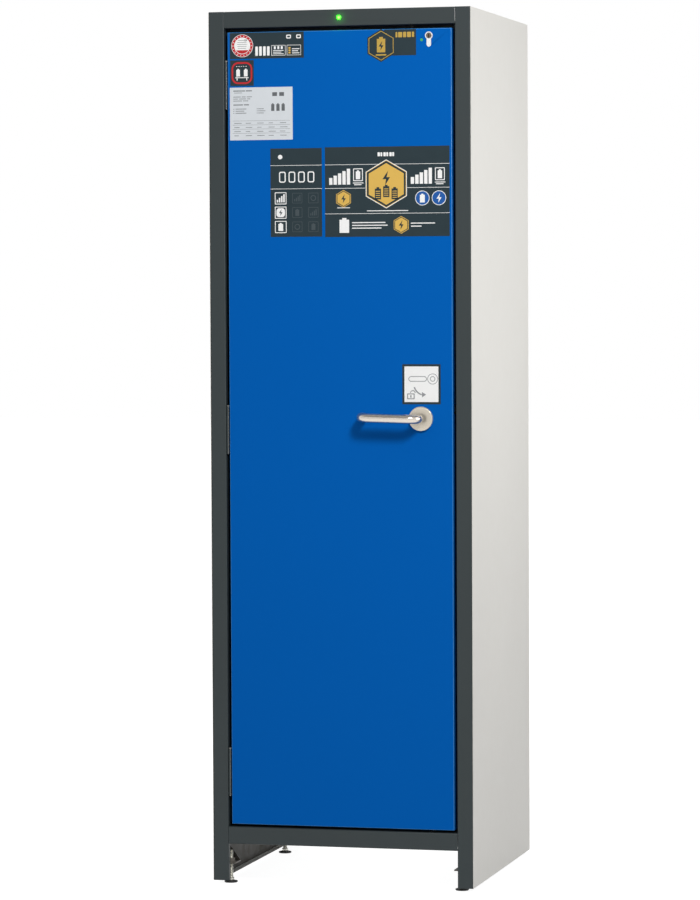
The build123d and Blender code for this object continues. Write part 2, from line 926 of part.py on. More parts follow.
def door_skin():
    """Blue outer tray with rounded edges, open at the back."""
    tray = block(-door_half, door_half, door_recess, door_back, door_bottom, door_top)
    tray = fillet(tray.edges().group_by(Axis.Y)[0], radius=door_edge_radius)
    inner = door_half - skin_sheet
    tray -= block(
        -inner, inner, core_front, door_back + 1, door_bottom + skin_sheet, door_top - skin_sheet
    )
    tray -= round_bar(lever_x, lever_height, 0, core_front + 1, hub_radius + 1)
    tray -= from_front(cylinder_outline(0.15), 0, core_front + 1)
    tray -= round_bar(*window_place(), 0, core_front + 1, window_radius + slide_clearance)
    hole = bolt_diameter / 2 + 3 * slide_clearance
    head_x = lever_x - rack_line
    foot_bolt_x = lever_x + rack_line
    tray -= upright_bar(head_x, bolt_axis_depth, door_top - 4, door_top + 1, hole)
    tray -= upright_bar(foot_bolt_x, bolt_axis_depth, door_bottom - 1, door_bottom + 4, hole)
    latch_back = rear_layer + rack_thickness
    return tray - latch_opening(
        3 * slide_clearance, rear_layer, latch_back, door_half - 3, door_half + 1
    )


def door_core():
    """Fire board that fills the door, with the pockets for the lock."""
    half = door_half - skin_sheet
    low = door_bottom + skin_sheet
    high = door_top - skin_sheet
    core = block(-half, half, core_front, door_back - skin_sheet, low, high)
    gap = board_gap
    corner = door_edge_radius
    core = chamfer(core.edges().group_by(Axis.Y)[0], length=corner * 0.5)
    core -= block(
        lever_x - case_left - gap,
        lever_x + case_right + gap,
        core_front - 1,
        cover_front + case_wall + gap,
        lever_height - case_half_height - gap,
        lever_height + case_half_height + gap,
    )
    half_channel = channel_width / 2
    head_x = lever_x - rack_line
    foot_bolt_x = lever_x + rack_line
    case_top = lever_height + case_half_height
    case_bottom = lever_height - case_half_height
    core -= block(
        head_x - half_channel, head_x + half_channel, core_front - 1, channel_back, case_top, high + 1
    )
    core -= block(
        foot_bolt_x - half_channel, foot_bolt_x + half_channel, core_front - 1, channel_back,
        low - 1, case_bottom,
    )
    case_side = lever_x + case_right
    latch_back = rear_layer + rack_thickness
    core -= latch_opening(2 * gap, rear_layer, latch_back, case_side, half + 1)
    flag_front = cylinder_length + door_recess - cylinder_proud
    flag_back = flag_front + 6
    core -= from_front(cylinder_outline(gap), core_front - 1, flag_front + 1)
    core -= round_bar(*window_place(), core_front - 1, flag_front + 1, window_radius + gap)
    reach = flag_reach + 1
    return core - block(
        cylinder_x - reach,
        cylinder_x + reach,
        flag_front,
        flag_back,
        cylinder_z - reach,
        cylinder_z + plug_radius + 4,
    )


def door_lining():
    """Inner door sheet, set in the tray behind the core."""
    half = door_half - skin_sheet
    return block(
        -half, half, door_back - skin_sheet, door_back, door_bottom + skin_sheet,
        door_top - skin_sheet,
    )


def door_seal():
    """Sealing frame on the back of the door."""
    outer_x = door_half - seal_margin
    low = door_bottom + seal_margin
    high = door_top - seal_margin
    depth1 = door_back + seal_space - seal_clearance
    frame = block(-outer_x, outer_x, door_back, depth1, low, high)
    return frame - block(
        -outer_x + seal_width, outer_x - seal_width, door_back - 1, depth1 + 1,
        low + seal_width, high - seal_width,
    )


def involute(angle):
    return math.tan(angle) - angle


def pinion_face():
    """Front view of the pinion, its involute flanks drawn as arcs, one tooth on +X."""
    slope = math.radians(pressure_angle)
    base_radius = pitch_radius * math.cos(slope)
    tip_radius = pitch_radius + addendum * gear_module
    root_radius = pitch_radius - (addendum + root_clearance) * gear_module
    half_tooth = (math.pi * gear_module / 2 - backlash / 2) / (2 * pitch_radius)

    def flank(radius):
        roll = math.acos(min(1.0, base_radius / radius))
        return half_tooth + involute(slope) - involute(roll)

    def point(radius, angle):
        return radius * math.cos(angle), radius * math.sin(angle)

    step = 2 * math.pi / pinion_teeth
    mid_radius = (base_radius + tip_radius) / 2
    with BuildSketch() as face:
        with BuildLine():
            for tooth in range(pinion_teeth):
                centre = tooth * step
                rise = [
                    point(root_radius, centre - flank(base_radius)),
                    point(base_radius, centre - flank(base_radius)),
                    point(mid_radius, centre - flank(mid_radius)),
                    point(tip_radius, centre - flank(tip_radius)),
                ]
                fall = [
                    point(tip_radius, centre + flank(tip_radius)),
                    point(mid_radius, centre + flank(mid_radius)),
                    point(base_radius, centre + flank(base_radius)),
                    point(root_radius, centre + flank(base_radius)),
                ]
                next_root = point(root_radius, centre + step - flank(base_radius))
                Line(rise[0], rise[1])
                ThreePointArc(rise[1], rise[2], rise[3])
                ThreePointArc(rise[3], point(tip_radius, centre), fall[0])
                ThreePointArc(fall[0], fall[1], fall[2])
                Line(fall[2], fall[3])
                ThreePointArc(fall[3], point(root_radius, centre + step / 2), next_root)
        make_face()
    return face.sketch


def mesh_shift(angle):
    """Offset along a rack that puts its teeth in the pinion's spaces at this angle."""
    pitch = math.pi * gear_module
    past_tooth = (angle / 360 * pinion_teeth) % 1
    return (0.5 - past_tooth) * pitch


def rack_face(start, end, shift):
    """A rack along local x, its teeth on +y with the pitch line at y = 0."""
    pitch = math.pi * gear_module
    slope = math.tan(math.radians(pressure_angle))
    tip = addendum * gear_module
    root = (addendum + root_clearance) * gear_module
    half = pitch / 4 - backlash / 4
    first = math.ceil((start - shift) / pitch + 0.5)
    last = math.floor((end - shift) / pitch - 0.5)
    points = [(start, -root - rack_body), (start, -root)]
    for tooth in range(first, last + 1):
        centre = shift + tooth * pitch
        points += [
            (centre - half - root * slope, -root),
            (centre - half + tip * slope, tip),
            (centre + half - tip * slope, tip),
            (centre + half + root * slope, -root),
        ]
    points += [(end, -root), (end, -root - rack_body)]
    return make_face(Polyline(*points, close=True))


def drive_pinion():
    """Long pinion: the rods' racks run in its front half and the latch rack in its rear half."""
    depth0 = front_layer
    depth1 = rear_layer + rack_thickness
    centre = Pos(lever_x, lever_height)
    gear = from_front(centre * pinion_face(), depth0, depth1)
    gear += round_bar(lever_x, lever_height, core_front + slide_clearance, depth0, hub_radius)
    gear += round_bar(lever_x, lever_height, depth1, cover_front + case_wall, hub_radius)
    square = spindle_square + 2 * run_clearance
    hole = centre * Rectangle(square, square)
    return gear - from_front(hole, core_front - 1, cover_front + case_wall + 1)


def spindle():
    depth1 = cover_front + case_wall - slide_clearance
    square = Pos(lever_x, lever_height) * Rectangle(spindle_square, spindle_square)
    return from_front(square, door_recess - spindle_grip, depth1)


def rack_start():
    """How far a rack reaches past the pinion's axis on its idle side."""
    return pitch_radius * 0.75


def head_rod():
    """Rack on the hinge side of the pinion, the flat rod above it and its round bolt."""
    depth1 = front_layer + rack_thickness
    end = rack_start() + bolt_travel + 4
    face = rack_face(-rack_start(), end, mesh_shift(180))
    place = Pos(lever_x - pitch_radius, lever_height) * Rot(0, 0, 90) * mirror(face, about=Plane.XZ)
    rod = from_front(place, front_layer, depth1)
    x = lever_x - rack_line
    tip = door_top + door_top_gap - bolt_to_keeper
    half = rack_body / 2
    bolt_low = tip - bolt_length
    rod += block(x - half, x + half, front_layer, depth1, lever_height + end, bolt_low + 1)
    bolt = upright_bar(x, bolt_axis_depth, bolt_low, tip, bolt_diameter / 2)
    return rod + chamfer(bolt.edges().group_by(Axis.Z)[-1], length=1.5)


def foot_rod():
    """Rack on the lock side of the pinion, the flat rod below it and its round bolt."""
    depth1 = front_layer + rack_thickness
    end = rack_start() + bolt_travel + 4
    face = rack_face(-rack_start(), end, mesh_shift(0))
    place = Pos(lever_x + pitch_radius, lever_height) * Rot(0, 0, -90) * mirror(face, about=Plane.XZ)
    rod = from_front(place, front_layer, depth1)
    x = lever_x + rack_line
    tip = door_bottom - door_bottom_gap + bolt_to_keeper
    half = rack_body / 2
    bolt_high = tip + bolt_length
    rod += block(x - half, x + half, front_layer, depth1, bolt_high - 1, lever_height - end)
    bolt = upright_bar(x, bolt_axis_depth, tip, bolt_high, bolt_diameter / 2)
    return rod + chamfer(bolt.edges().group_by(Axis.Z)[0], length=1.5)


def latch_bolt():
    """Rack over the pinion in the rear layer, its bar and the bevelled latch head."""
    depth1 = rear_layer + rack_thickness
    end = rack_start() + bolt_travel + 4
    face = mirror(rack_face(-rack_start(), end, mesh_shift(90)), about=Plane.XZ)
    bolt = from_front(Pos(lever_x, lever_height + pitch_radius) * face, rear_layer, depth1)
    tip = door_half + door_side_gap - bolt_to_keeper
    head = tip - latch_length
    middle = lever_height + rack_line
    half = rack_body / 2
    bolt += block(lever_x + end, head + 1, rear_layer, depth1, middle - half, middle + half)
    shoulder = latch_height / 2
    nose = block(head, tip, rear_layer, depth1, middle - shoulder, middle + shoulder)
    nose = fillet(nose.edges().filter_by(Axis.Y).group_by(Axis.X)[-1], radius=2)
    return bolt + nose


def lock_case():
    """Die-cast lock case: pinion pocket, two rod channels and the latch channel behind them."""
    left = lever_x - case_left
    right = lever_x + case_right
    low = lever_height - case_half_height
    high = lever_height + case_half_height
    case = block(left, right, core_front, cover_front, low, high)
    case = fillet(case.edges().filter_by(Axis.Y), radius=4)
    gap = slide_clearance
    tips = pitch_radius + addendum * gear_module
    pocket_front = front_layer - gap
    case -= round_bar(lever_x, lever_height, pocket_front, cover_front + 1, tips + 4 * gap)
    case -= round_bar(lever_x, lever_height, core_front - 1, front_layer, hub_radius + run_clearance)
    rack_inner = pitch_radius - addendum * gear_module - 4 * gap
    rack_outer = rack_line + rack_body / 2 + gap
    rod_back = front_layer + rack_thickness + gap
    for side_x in (-1, 1):
        x0, x1 = sorted((lever_x + side_x * rack_inner, lever_x + side_x * rack_outer))
        case -= block(x0, x1, pocket_front, rod_back, low - 1, high + 1)
    case -= block(
        left - 1, right + 1, rear_layer - gap, cover_front + 1, lever_height + rack_inner,
        lever_height + rack_outer,
    )
    return case


def lock_cover():
    """Cover plate that closes the case and carries the rear hub of the pinion."""
    plate = block(
        lever_x - case_left,
        lever_x + case_right,
        cover_front,
        cover_front + case_wall,
        lever_height - case_half_height,
        lever_height + case_half_height,
    )
    plate = fillet(plate.edges().filter_by(Axis.Y), radius=4)
    bore = hub_radius + run_clearance
    plate -= round_bar(lever_x, lever_height, cover_front - 1, cover_front + case_wall + 1, bore)
    return plate


def rod_guides():
    """Guide blocks for the bolts, at the head and foot of the door."""
    half = channel_width / 2
    bore = bolt_diameter / 2 + run_clearance
    head_x = lever_x - rack_line
    foot_bolt_x = lever_x + rack_line
    high = door_top - skin_sheet
    low = door_bottom + skin_sheet
    depth0 = core_front + door_edge_radius
    head = block(head_x - half, head_x + half, depth0, channel_back, high - guide_length, high)
    head -= upright_bar(head_x, bolt_axis_depth, high - guide_length - 1, high + 1, bore)
    foot = block(
        foot_bolt_x - half, foot_bolt_x + half, depth0, channel_back, low, low + guide_length
    )
    foot -= upright_bar(foot_bolt_x, bolt_axis_depth, low - 1, low + guide_length + 1, bore)
    return [head, foot]


def handle_rose():
    """Round rose, hollow for the return spring, with the bearing of the lever's neck."""
    top = door_recess - rose_height
    rose = round_bar(lever_x, lever_height, top, door_recess, rose_diameter / 2)
    rose = chamfer(rose.edges().group_by(Axis.Y)[0], length=1.2)
    hollow = rose_diameter / 2 - rose_wall
    rose -= round_bar(lever_x, lever_height, top + rose_wall, door_recess + 1, hollow)
    return rose - round_bar(
        lever_x, lever_height, top - 1, door_recess + 1, lever_tube / 2 + run_clearance
    )


def return_spring():
    """Flat spiral spring in the rose that turns the lever back up."""
    strip = 0.8
    spacing = 3.2
    turns = 3
    radius = lever_tube / 2 + 3
    coil = Sketch()
    for half in range(2 * turns):
        upper = half % 2 == 0
        centre = 0 if upper else spacing / 2
        ring = Circle(radius + strip / 2) - Circle(radius - strip / 2)
        reach = 4 * radius
        ring &= Pos(0, reach / 2 if upper else -reach / 2) * Rectangle(reach, reach)
        coil += Pos(centre, 0) * ring
        radius += spacing / 2
    top = door_recess - rose_height + rose_wall + slide_clearance
    return from_front(Pos(lever_x, lever_height) * coil, top, door_recess - slide_clearance)


def lever():
    """Bent tube: neck, grip parallel to the door, and an end turned back to it."""
    bar = door_recess - lever_standoff
    far = lever_x - lever_length
    neck_end = door_recess - slide_clearance
    path = FilletPolyline(
        (lever_x, back(neck_end), lever_height),
        (lever_x, back(bar), lever_height),
        (far, back(bar), lever_height),
        (far, back(door_recess - lever_end_gap), lever_height),
        radius=lever_bend,
    )
    section = elevation(neck_end) * Pos(lever_x, lever_height) * Circle(lever_tube / 2)
    tube = sweep(section, path=path)
    tube = tube.rotate(Axis((lever_x, 0, lever_height), (0, 1, 0)), lever_tilt)
    square = spindle_square + 2 * run_clearance
    socket = Pos(lever_x, lever_height) * Rectangle(square, square)
    return tube - from_front(socket, door_recess - spindle_grip - 0.1, door_recess + 1)


def lock_cylinder():
    depth0 = door_recess - cylinder_proud
    body = from_front(cylinder_outline(0), depth0, depth0 + cylinder_length)
    bore = plug_radius + run_clearance
    return body - round_bar(cylinder_x, cylinder_z, depth0 - 1, depth0 + cylinder_length + 1, bore)


def key_plug():
    """Turning plug with its keyway, and the tail that carries the indicator."""
    depth0 = door_recess - cylinder_proud
    depth1 = depth0 + cylinder_length
    plug = round_bar(cylinder_x, cylinder_z, depth0, depth1, plug_radius)
    plug += round_bar(cylinder_x, cylinder_z, depth1, depth1 + 4, plug_tail_radius)
    keyway = Pos(cylinder_x, cylinder_z - 1) * Rectangle(2, plug_radius * 1.4)
    return plug - from_front(keyway, depth0 - 1, depth0 + 22)


def status_flag():
    """Coloured vane behind the window, which turns away with the key."""
    depth0 = door_recess - cylinder_proud + cylinder_length + 1
    direction = math.degrees(math.atan2(window_offset[1], window_offset[0]))
    vane = Pos(flag_reach / 2, 0) * Rectangle(flag_reach, 12)
    shape = Circle(plug_tail_radius + 3) + Rot(0, 0, direction) * vane
    shape -= Circle(plug_tail_radius + run_clearance)
    return from_front(Pos(cylinder_x, cylinder_z) * shape, depth0, depth0 + flag_sheet)


def status_window():
    """Clear light pipe from the front of the door to the vane."""
    depth1 = door_recess - cylinder_proud + cylinder_length + 1 - slide_clearance * 3
    return round_bar(*window_place(), door_recess - slide_clearance, depth1, window_radius)


def save(name, pieces):
    """Write one named sub-part, of one or more separate solids."""
    if isinstance(pieces, (list, tuple)):
        solids = [solid for piece in pieces for solid in piece.solids()]
        export_step(Compound(children=solids), f"parts/{name}.step")
    else:
        solids = pieces.solids()
        export_step(solids[0] if len(solids) == 1 else Compound(children=solids), f"parts/{name}.step")


def main():
    os.makedirs("parts", exist_ok=True)

    save("side_panel_right", side_panel())
    save("side_panel_left", left_hand(side_panel()))
    save("rear_panel", rear_panel())
    right_pillar = pillar()
    save("pillar_right", right_pillar)
    save("pillar_left", left_hand(right_pillar))
    save("top_rail", top_rail())
    save("kick_rail", kick_rail())
    save("roof_panel", roof_panel())
    save("floor_pan", floor_pan())

    save("insulation_right", side_insulation())
    save("insulation_left", left_hand(side_insulation()))
    save("insulation_rear", rear_insulation())
    save("insulation_ceiling", ceiling_insulation())
    save("insulation_floor", floor_insulation())
    save("inner_lining", inner_lining())
    save("fire_strips", fire_strips())
    save("keeper_plates", keeper_plates())

    brackets = [foot_bracket(front_foot_depth), foot_bracket(rear_foot_depth)]
    save("foot_brackets", brackets + [left_hand(bracket) for bracket in brackets])
    for end, depth in (("front", front_foot_depth), ("rear", rear_foot_depth)):
        for side, x in (("left", -foot_x), ("right", foot_x)):
            save(f"foot_pad_{end}_{side}", foot_pad(x, depth))
            save(f"foot_stud_{end}_{side}", foot_stud(x, depth))

    save("shelf_uprights", shelf_uprights())
    save("shelf_clips", shelf_clips())
    save("shelves", shelves())
    save("sump_tray", sump_tray())
    save("sump_insert", sump_insert())
    save("air_duct", air_duct())
    save("exhaust_spigot", exhaust_spigot())
    save("fire_ring", fire_ring())
    save("cable_gland", cable_gland())
    save("control_unit", control_unit())
    save("status_led", status_led())
    save("smoke_sensor", smoke_sensor())

    save("hinge_frame_leaves", [hinge_half(height, False) for height in hinge_heights])
    save("hinge_door_leaves", [hinge_half(height, True) for height in hinge_heights])
    save("hinge_pins", hinge_pins())

    save("door_skin", door_skin())
    save("door_core", door_core())
    save("door_lining", door_lining())
    save("door_seal", door_seal())
    save("lock_case", lock_case())
    save("lock_cover", lock_cover())
    save("rod_guides", rod_guides())
    save("handle_rose", handle_rose())
    save("return_spring", return_spring())
    save("lock_cylinder", lock_cylinder())
    save("status_window", status_window())

    save("lever", lever())
    save("spindle", spindle())
    save("drive_pinion", drive_pinion())
    save("head_rod", head_rod())
    save("foot_rod", foot_rod())
    save("latch_bolt", latch_bolt())
    save("key_plug", key_plug())
    save("status_flag", status_flag())


main()
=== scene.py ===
import math

import bpy
from mathutils import Matrix, Vector


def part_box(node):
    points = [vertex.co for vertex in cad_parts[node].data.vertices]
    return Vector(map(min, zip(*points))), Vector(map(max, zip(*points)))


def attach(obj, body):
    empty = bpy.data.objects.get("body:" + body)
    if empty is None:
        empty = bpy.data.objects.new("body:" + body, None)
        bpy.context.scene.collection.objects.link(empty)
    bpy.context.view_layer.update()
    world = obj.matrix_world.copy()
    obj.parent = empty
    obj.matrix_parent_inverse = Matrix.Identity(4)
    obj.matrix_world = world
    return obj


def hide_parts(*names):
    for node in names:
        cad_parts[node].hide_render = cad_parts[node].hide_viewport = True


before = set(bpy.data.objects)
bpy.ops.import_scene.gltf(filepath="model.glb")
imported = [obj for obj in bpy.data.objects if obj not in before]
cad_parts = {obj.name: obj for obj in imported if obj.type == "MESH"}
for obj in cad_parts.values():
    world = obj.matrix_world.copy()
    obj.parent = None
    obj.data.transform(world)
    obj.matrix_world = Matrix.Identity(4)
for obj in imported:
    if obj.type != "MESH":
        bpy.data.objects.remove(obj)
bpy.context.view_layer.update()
bpy.ops.object.select_all(action="DESELECT")
bpy.context.scene.view_settings.view_transform = "Standard"


# Side panels: 1 mm steel sheet folded to a C and powder coated light grey.
# They stand behind the front frame and carry the insulating boards on their inner faces.


def put(tree, kind, sockets=None, **options):
    """Adds a shader node, sets its options and fills its sockets by value or by link."""
    node = tree.nodes.new(kind)
    for option, value in options.items():
        setattr(node, option, value)
    for name, value in (sockets or {}).items():
        if isinstance(value, bpy.types.NodeSocket):
            tree.links.new(value, node.inputs[name])
        else:
            node.inputs[name].default_value = value
    return node


def start_group(name, inputs):
    """A shader node group with its named sockets, its entry and where its pattern lies."""
    group = bpy.data.node_groups.new(name, "ShaderNodeTree")
    for label, value in inputs.items():
        kind = "Float"
        if isinstance(value, tuple):
            kind = "Color" if len(value) == 4 else "Vector"
        socket = group.interface.new_socket(label, in_out="INPUT", socket_type="NodeSocket" + kind)
        socket.default_value = value
    for label, kind in (("Colour", "Color"), ("Roughness", "Float"), ("Height", "Float")):
        group.interface.new_socket(label, in_out="OUTPUT", socket_type="NodeSocket" + kind)
    entry = group.nodes.new("NodeGroupInput").outputs
    return group, entry, put(group, "ShaderNodeTexCoord").outputs["Object"]


def noise_of(tree, place, scale, detail):
    """Cloudy noise of 0 to 1."""
    sockets = {"Vector": place, "Scale": scale, "Detail": detail}
    return put(tree, "ShaderNodeTexNoise", sockets).outputs[0]


def tint(tree, colour, shade):
    """The colour, made lighter or darker by a shade about 1."""
    return put(tree, "ShaderNodeHueSaturation", {"Color": colour, "Value": shade}).outputs[0]


def end_group(group, colour, gloss, height):
    """Leads the colour, the roughness and the height out of the group."""
    put(group, "NodeGroupOutput", {"Colour": colour, "Roughness": gloss, "Height": height})
    return group


def reckon(tree, operation, *values):
    """One calculation on values or sockets."""
    sockets = dict(enumerate(values))
    return put(tree, "ShaderNodeMath", sockets, operation=operation).outputs[0]


def spread_about(tree, noise, middle, spread):
    """Turns a noise of 0 to 1 into the middle value plus or minus the spread."""
    doubled = reckon(tree, "MULTIPLY", reckon(tree, "SUBTRACT", noise, 0.5), 4.0)
    return reckon(tree, "ADD", reckon(tree, "MULTIPLY", doubled, spread), middle)


def make_powder_coat():
    """Orange peel of a baked powder coat, with a slow drift of its shade."""
    group, entry, place = start_group(
        "powder_coat",
        {
            "Colour": (0.8, 0.8, 0.8, 1.0), "Shade spread": 0.02, "Roughness": 0.4,
            "Roughness spread": 0.04, "Peel per metre": 700.0,
        },
    )
    drift = noise_of(group, place, 2.3, 2.0)
    cloud = noise_of(group, place, 38.0, 3.0)
    peel = noise_of(group, place, entry["Peel per metre"], 1.0)
    shade = spread_about(group, drift, 1.0, entry["Shade spread"])
    gloss = spread_about(group, cloud, entry["Roughness"], entry["Roughness spread"])
    return end_group(group, tint(group, entry["Colour"], shade), gloss, peel)


def finish(name, group, colour, bump, **values):
    """A Principled material fed by one group. Values go to the group or else to the shader."""
    material = bpy.data.materials.new(name)
    material.use_nodes = True
    tree = material.node_tree
    shader = tree.nodes["Principled BSDF"]
    source = put(tree, "ShaderNodeGroup", node_tree=group)
    if colour:
        source.inputs["Colour"].default_value = (*colour, 1.0)
    tree.links.new(source.outputs["Colour"], shader.inputs["Base Color"])
    tree.links.new(source.outputs["Roughness"], shader.inputs["Roughness"])
    relief = put(
        tree, "ShaderNodeBump",
        {"Height": source.outputs["Height"], "Strength": 1.0, "Distance": bump},
    )
    tree.links.new(relief.outputs[0], shader.inputs["Normal"])
    for label, value in values.items():
        label = label.replace("_", " ")
        holder = source if label in source.inputs else shader
        holder.inputs[label].default_value = value
    return material


def dress(material, *names):
    """Gives CAD parts their finish."""
    for name in names:
        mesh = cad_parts[name].data
        mesh.materials.clear()
        mesh.materials.append(material)


def ease_edges(width, *names):
    """Rounds the edges of CAD parts a little, so that they catch the light as real ones do."""
    for name in names:
        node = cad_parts[name]
        weld = node.modifiers.new("weld", "WELD")
        weld.merge_threshold = 0.00001
        round_off = node.modifiers.new("edge", "BEVEL")
        round_off.width = width
        round_off.segments = 2
        round_off.limit_method = "ANGLE"
        round_off.angle_limit = math.radians(50)


powder_coat = make_powder_coat()
light_grey_coat = finish(
    "light_grey_powder_coat", powder_coat, (0.72, 0.705, 0.665), 0.00002, Roughness=0.42,
    Peel_per_metre=620.0, Specular_IOR_Level=0.3
)
shell = ("side_panel_right", "side_panel_left", "rear_panel", "roof_panel")
dress(light_grey_coat, *shell)
ease_edges(0.0004, *shell)


# Front frame: two pillars and two rails of folded 1.5 mm sheet, powder coated
# in a dark grey with a fine texture, and the door hangs and closes inside them.
dark_frame_coat = finish(
    "dark_grey_textured_coat", powder_coat, (0.026, 0.036, 0.038), 0.00004, Shade_spread=0.05,
    Roughness=0.5, Peel_per_metre=900.0, Specular_IOR_Level=0.4
)
front_frame = ("pillar_right", "pillar_left", "top_rail", "kick_rail")
dress(dark_frame_coat, *front_frame)
ease_edges(0.0009, *front_frame)


# Floor pan and foot brackets: galvanised sheet, left bare where nobody looks. The zinc has
# frozen into flat crystals. The brackets' zinc is darkened with painted shade, and the inner
# faces of the side panels are a near-black zinc that is painted shade.


def make_zinc_spangle():
    """Crystals of hot-dip zinc, each with its own shade and slope."""
    group, entry, place = start_group(
        "zinc_spangle",
        {
            "Colour": (0.55, 0.57, 0.58, 1.0), "Shade spread": 0.12, "Roughness": 0.42,
            "Crystals per metre": 90.0,
        },
    )
    drift = put(group, "ShaderNodeTexNoise", {"Vector": place, "Scale": 40.0, "Detail": 4.0})
    bent = put(
        group, "ShaderNodeMix", {0: 0.012, 4: place, 5: drift.outputs["Color"]}, data_type="VECTOR"
    )
    crystals = put(
        group, "ShaderNodeTexVoronoi",
        {"Vector": bent.outputs[1], "Scale": entry["Crystals per metre"]},
    )
    grey = put(group, "ShaderNodeRGBToBW", {0: crystals.outputs["Color"]}).outputs[0]
    shade = spread_about(group, grey, 1.0, entry["Shade spread"])
    gloss = spread_about(group, grey, entry["Roughness"], 0.05)
    shaded = tint(group, entry["Colour"], shade)
    return end_group(group, shaded, gloss, crystals.outputs["Distance"])


zinc_spangle = make_zinc_spangle()
galvanised_sheet = finish(
    "galvanised_sheet", zinc_spangle, (0.5, 0.52, 0.53), 0.00003, Metallic=0.85
)
dress(galvanised_sheet, "floor_pan")
painted_shade_zinc = finish(
    "galvanised_sheet_painted_shade", zinc_spangle, (0.03, 0.027, 0.02), 0.00003, Shade_spread=0.25,
    Roughness=0.55, Crystals_per_metre=60.0, Specular_IOR_Level=0.2
)
# Painted shade: the brackets' zinc is much darker than the floor pan's, for the shade they stand
# in.
bracket_zinc_painted_shade = finish(
    "bracket_galvanised_sheet_painted_shade", zinc_spangle, (0.11, 0.1, 0.085), 0.00003, Shade_spread=0.3,
    Roughness=0.5, Crystals_per_metre=80.0, Metallic=0.2
)
dress(bracket_zinc_painted_shade, "foot_brackets")
# Painted shade: the inward faces of the side panels take the near-black zinc.
for name in ("side_panel_right", "side_panel_left"):
    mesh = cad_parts[name].data
    mesh.materials.append(painted_shade_zinc)
    for face in mesh.polygons:
        face.material_index = int(face.normal.x * face.center.x < 0)


# Fire boards: pressed mineral boards that fill the space between the sheet outside
# and the lining inside. Their cut faces are chalky, with pores and fine fibres.


def make_mineral_board():
    """Chalky pressed board with darker pores and a soft mottle."""
    group, entry, place = start_group(
        "mineral_board",
        {"Colour": (0.78, 0.76, 0.7, 1.0), "Pores per metre": 260.0, "Roughness": 0.9},
    )
    mottle = noise_of(group, place, 22.0, 5.0)
    pores = put(group, "ShaderNodeTexVoronoi", {"Vector": place, "Scale": entry["Pores per metre"]})
    depth = put(
        group, "ShaderNodeMapRange",
        {"Value": pores.outputs["Distance"], "From Min": 0.05, "From Max": 0.35},
    )
    mottled = tint(group, entry["Colour"], spread_about(group, mottle, 1.0, 0.06))
    pitted = put(
        group, "ShaderNodeMix", {0: depth.outputs[0], 6: (0.45, 0.43, 0.38, 1.0), 7: mottled},
        data_type="RGBA",
    )
    gloss = spread_about(group, mottle, entry["Roughness"], 0.04)
    return end_group(group, pitted.outputs[2], gloss, depth.outputs[0])


mineral_board = make_mineral_board()
fire_board = finish("fire_board", mineral_board, None, 0.0002)
dress(
    fire_board, "insulation_right", "insulation_left", "insulation_rear", "insulation_ceiling",
    "insulation_floor", "door_core",
)


# Inner lining: light grey laminate faces on the boards, smooth and wipeable.
# The door's inner face carries a coated steel sheet of the same shade.
lining_laminate = finish(
    "light_grey_laminate", powder_coat, (0.66, 0.67, 0.66), 0.000008, Roughness=0.35,
    Shade_spread=0.015, Peel_per_metre=1500.0
)
inner_door_coat = finish(
    "inner_door_coat", powder_coat, (0.68, 0.69, 0.67), 0.00002, Roughness=0.4, Peel_per_metre=620.0
)
dress(lining_laminate, "inner_lining")
dress(inner_door_coat, "door_lining")


# Fire strips: graphite strips glued in the frame's rebate, which swell in a fire.
# They are matt and slightly grainy, under a thin black film.


def make_moulded_skin():
    """Fine spark-eroded texture of a plastic or rubber moulding."""
    group, entry, place = start_group(
        "moulded_skin",
        {
            "Colour": (0.02, 0.02, 0.02, 1.0), "Shade spread": 0.03, "Roughness": 0.5,
            "Grain per metre": 1800.0,
        },
    )
    drift = noise_of(group, place, 60.0, 3.0)
    grain = put(
        group, "ShaderNodeTexVoronoi", {"Vector": place, "Scale": entry["Grain per metre"]},
        feature="SMOOTH_F1",
    )
    shade = spread_about(group, drift, 1.0, entry["Shade spread"])
    gloss = spread_about(group, drift, entry["Roughness"], 0.05)
    shaded = tint(group, entry["Colour"], shade)
    return end_group(group, shaded, gloss, grain.outputs["Distance"])


moulded_skin = make_moulded_skin()
graphite_film = finish(
    "graphite_film", moulded_skin, (0.035, 0.035, 0.038), 0.00005, Roughness=0.7,
    Grain_per_metre=900.0
)
dress(graphite_film, "fire_strips")


# Inside fittings: slotted uprights, three perforated shelves that hang on clips,
# and a sump tray with its insert, all powder coated light grey.
shelf_coat = finish(
    "shelf_powder_coat", powder_coat, (0.6, 0.61, 0.6), 0.00002, Roughness=0.38,
    Peel_per_metre=650.0
)
zinc_plate = finish(
    "bright_zinc_plate", zinc_spangle, (0.62, 0.63, 0.62), 0.000005, Shade_spread=0.04,
    Roughness=0.28, Crystals_per_metre=400.0, Metallic=1.0
)
dress(shelf_coat, "shelf_uprights", "shelves", "sump_tray", "sump_insert", "air_duct")
dress(zinc_plate, "shelf_clips", "keeper_plates", "lock_cover")


# Roof fittings: the exhaust spigot, its fire ring, the cable gland, the alarm unit
# in the service void and the smoke sensor under the ceiling.
grey_moulding = finish(
    "light_grey_moulding", moulded_skin, (0.5, 0.51, 0.5), 0.00003, Roughness=0.45
)
white_moulding = finish("white_moulding", moulded_skin, (0.8, 0.8, 0.78), 0.00002, Roughness=0.4)
black_moulding = finish(
    "black_moulding", moulded_skin, (0.018, 0.018, 0.019), 0.00003, Roughness=0.5
)
dress(galvanised_sheet, "exhaust_spigot")
dress(graphite_film, "fire_ring")
dress(grey_moulding, "control_unit", "rod_guides")
dress(black_moulding, "cable_gland")
dress(white_moulding, "smoke_sensor")


# Feet: bright zinc-plated studs with a hexagon, screwed into the corner brackets.
# Each stands on a black moulded pad that stays still while the stud turns.


def only(piece):
    """Makes one object the selected and active one."""
    bpy.ops.object.select_all(action="DESELECT")
    piece.select_set(True)
    bpy.context.view_layer.objects.active = piece


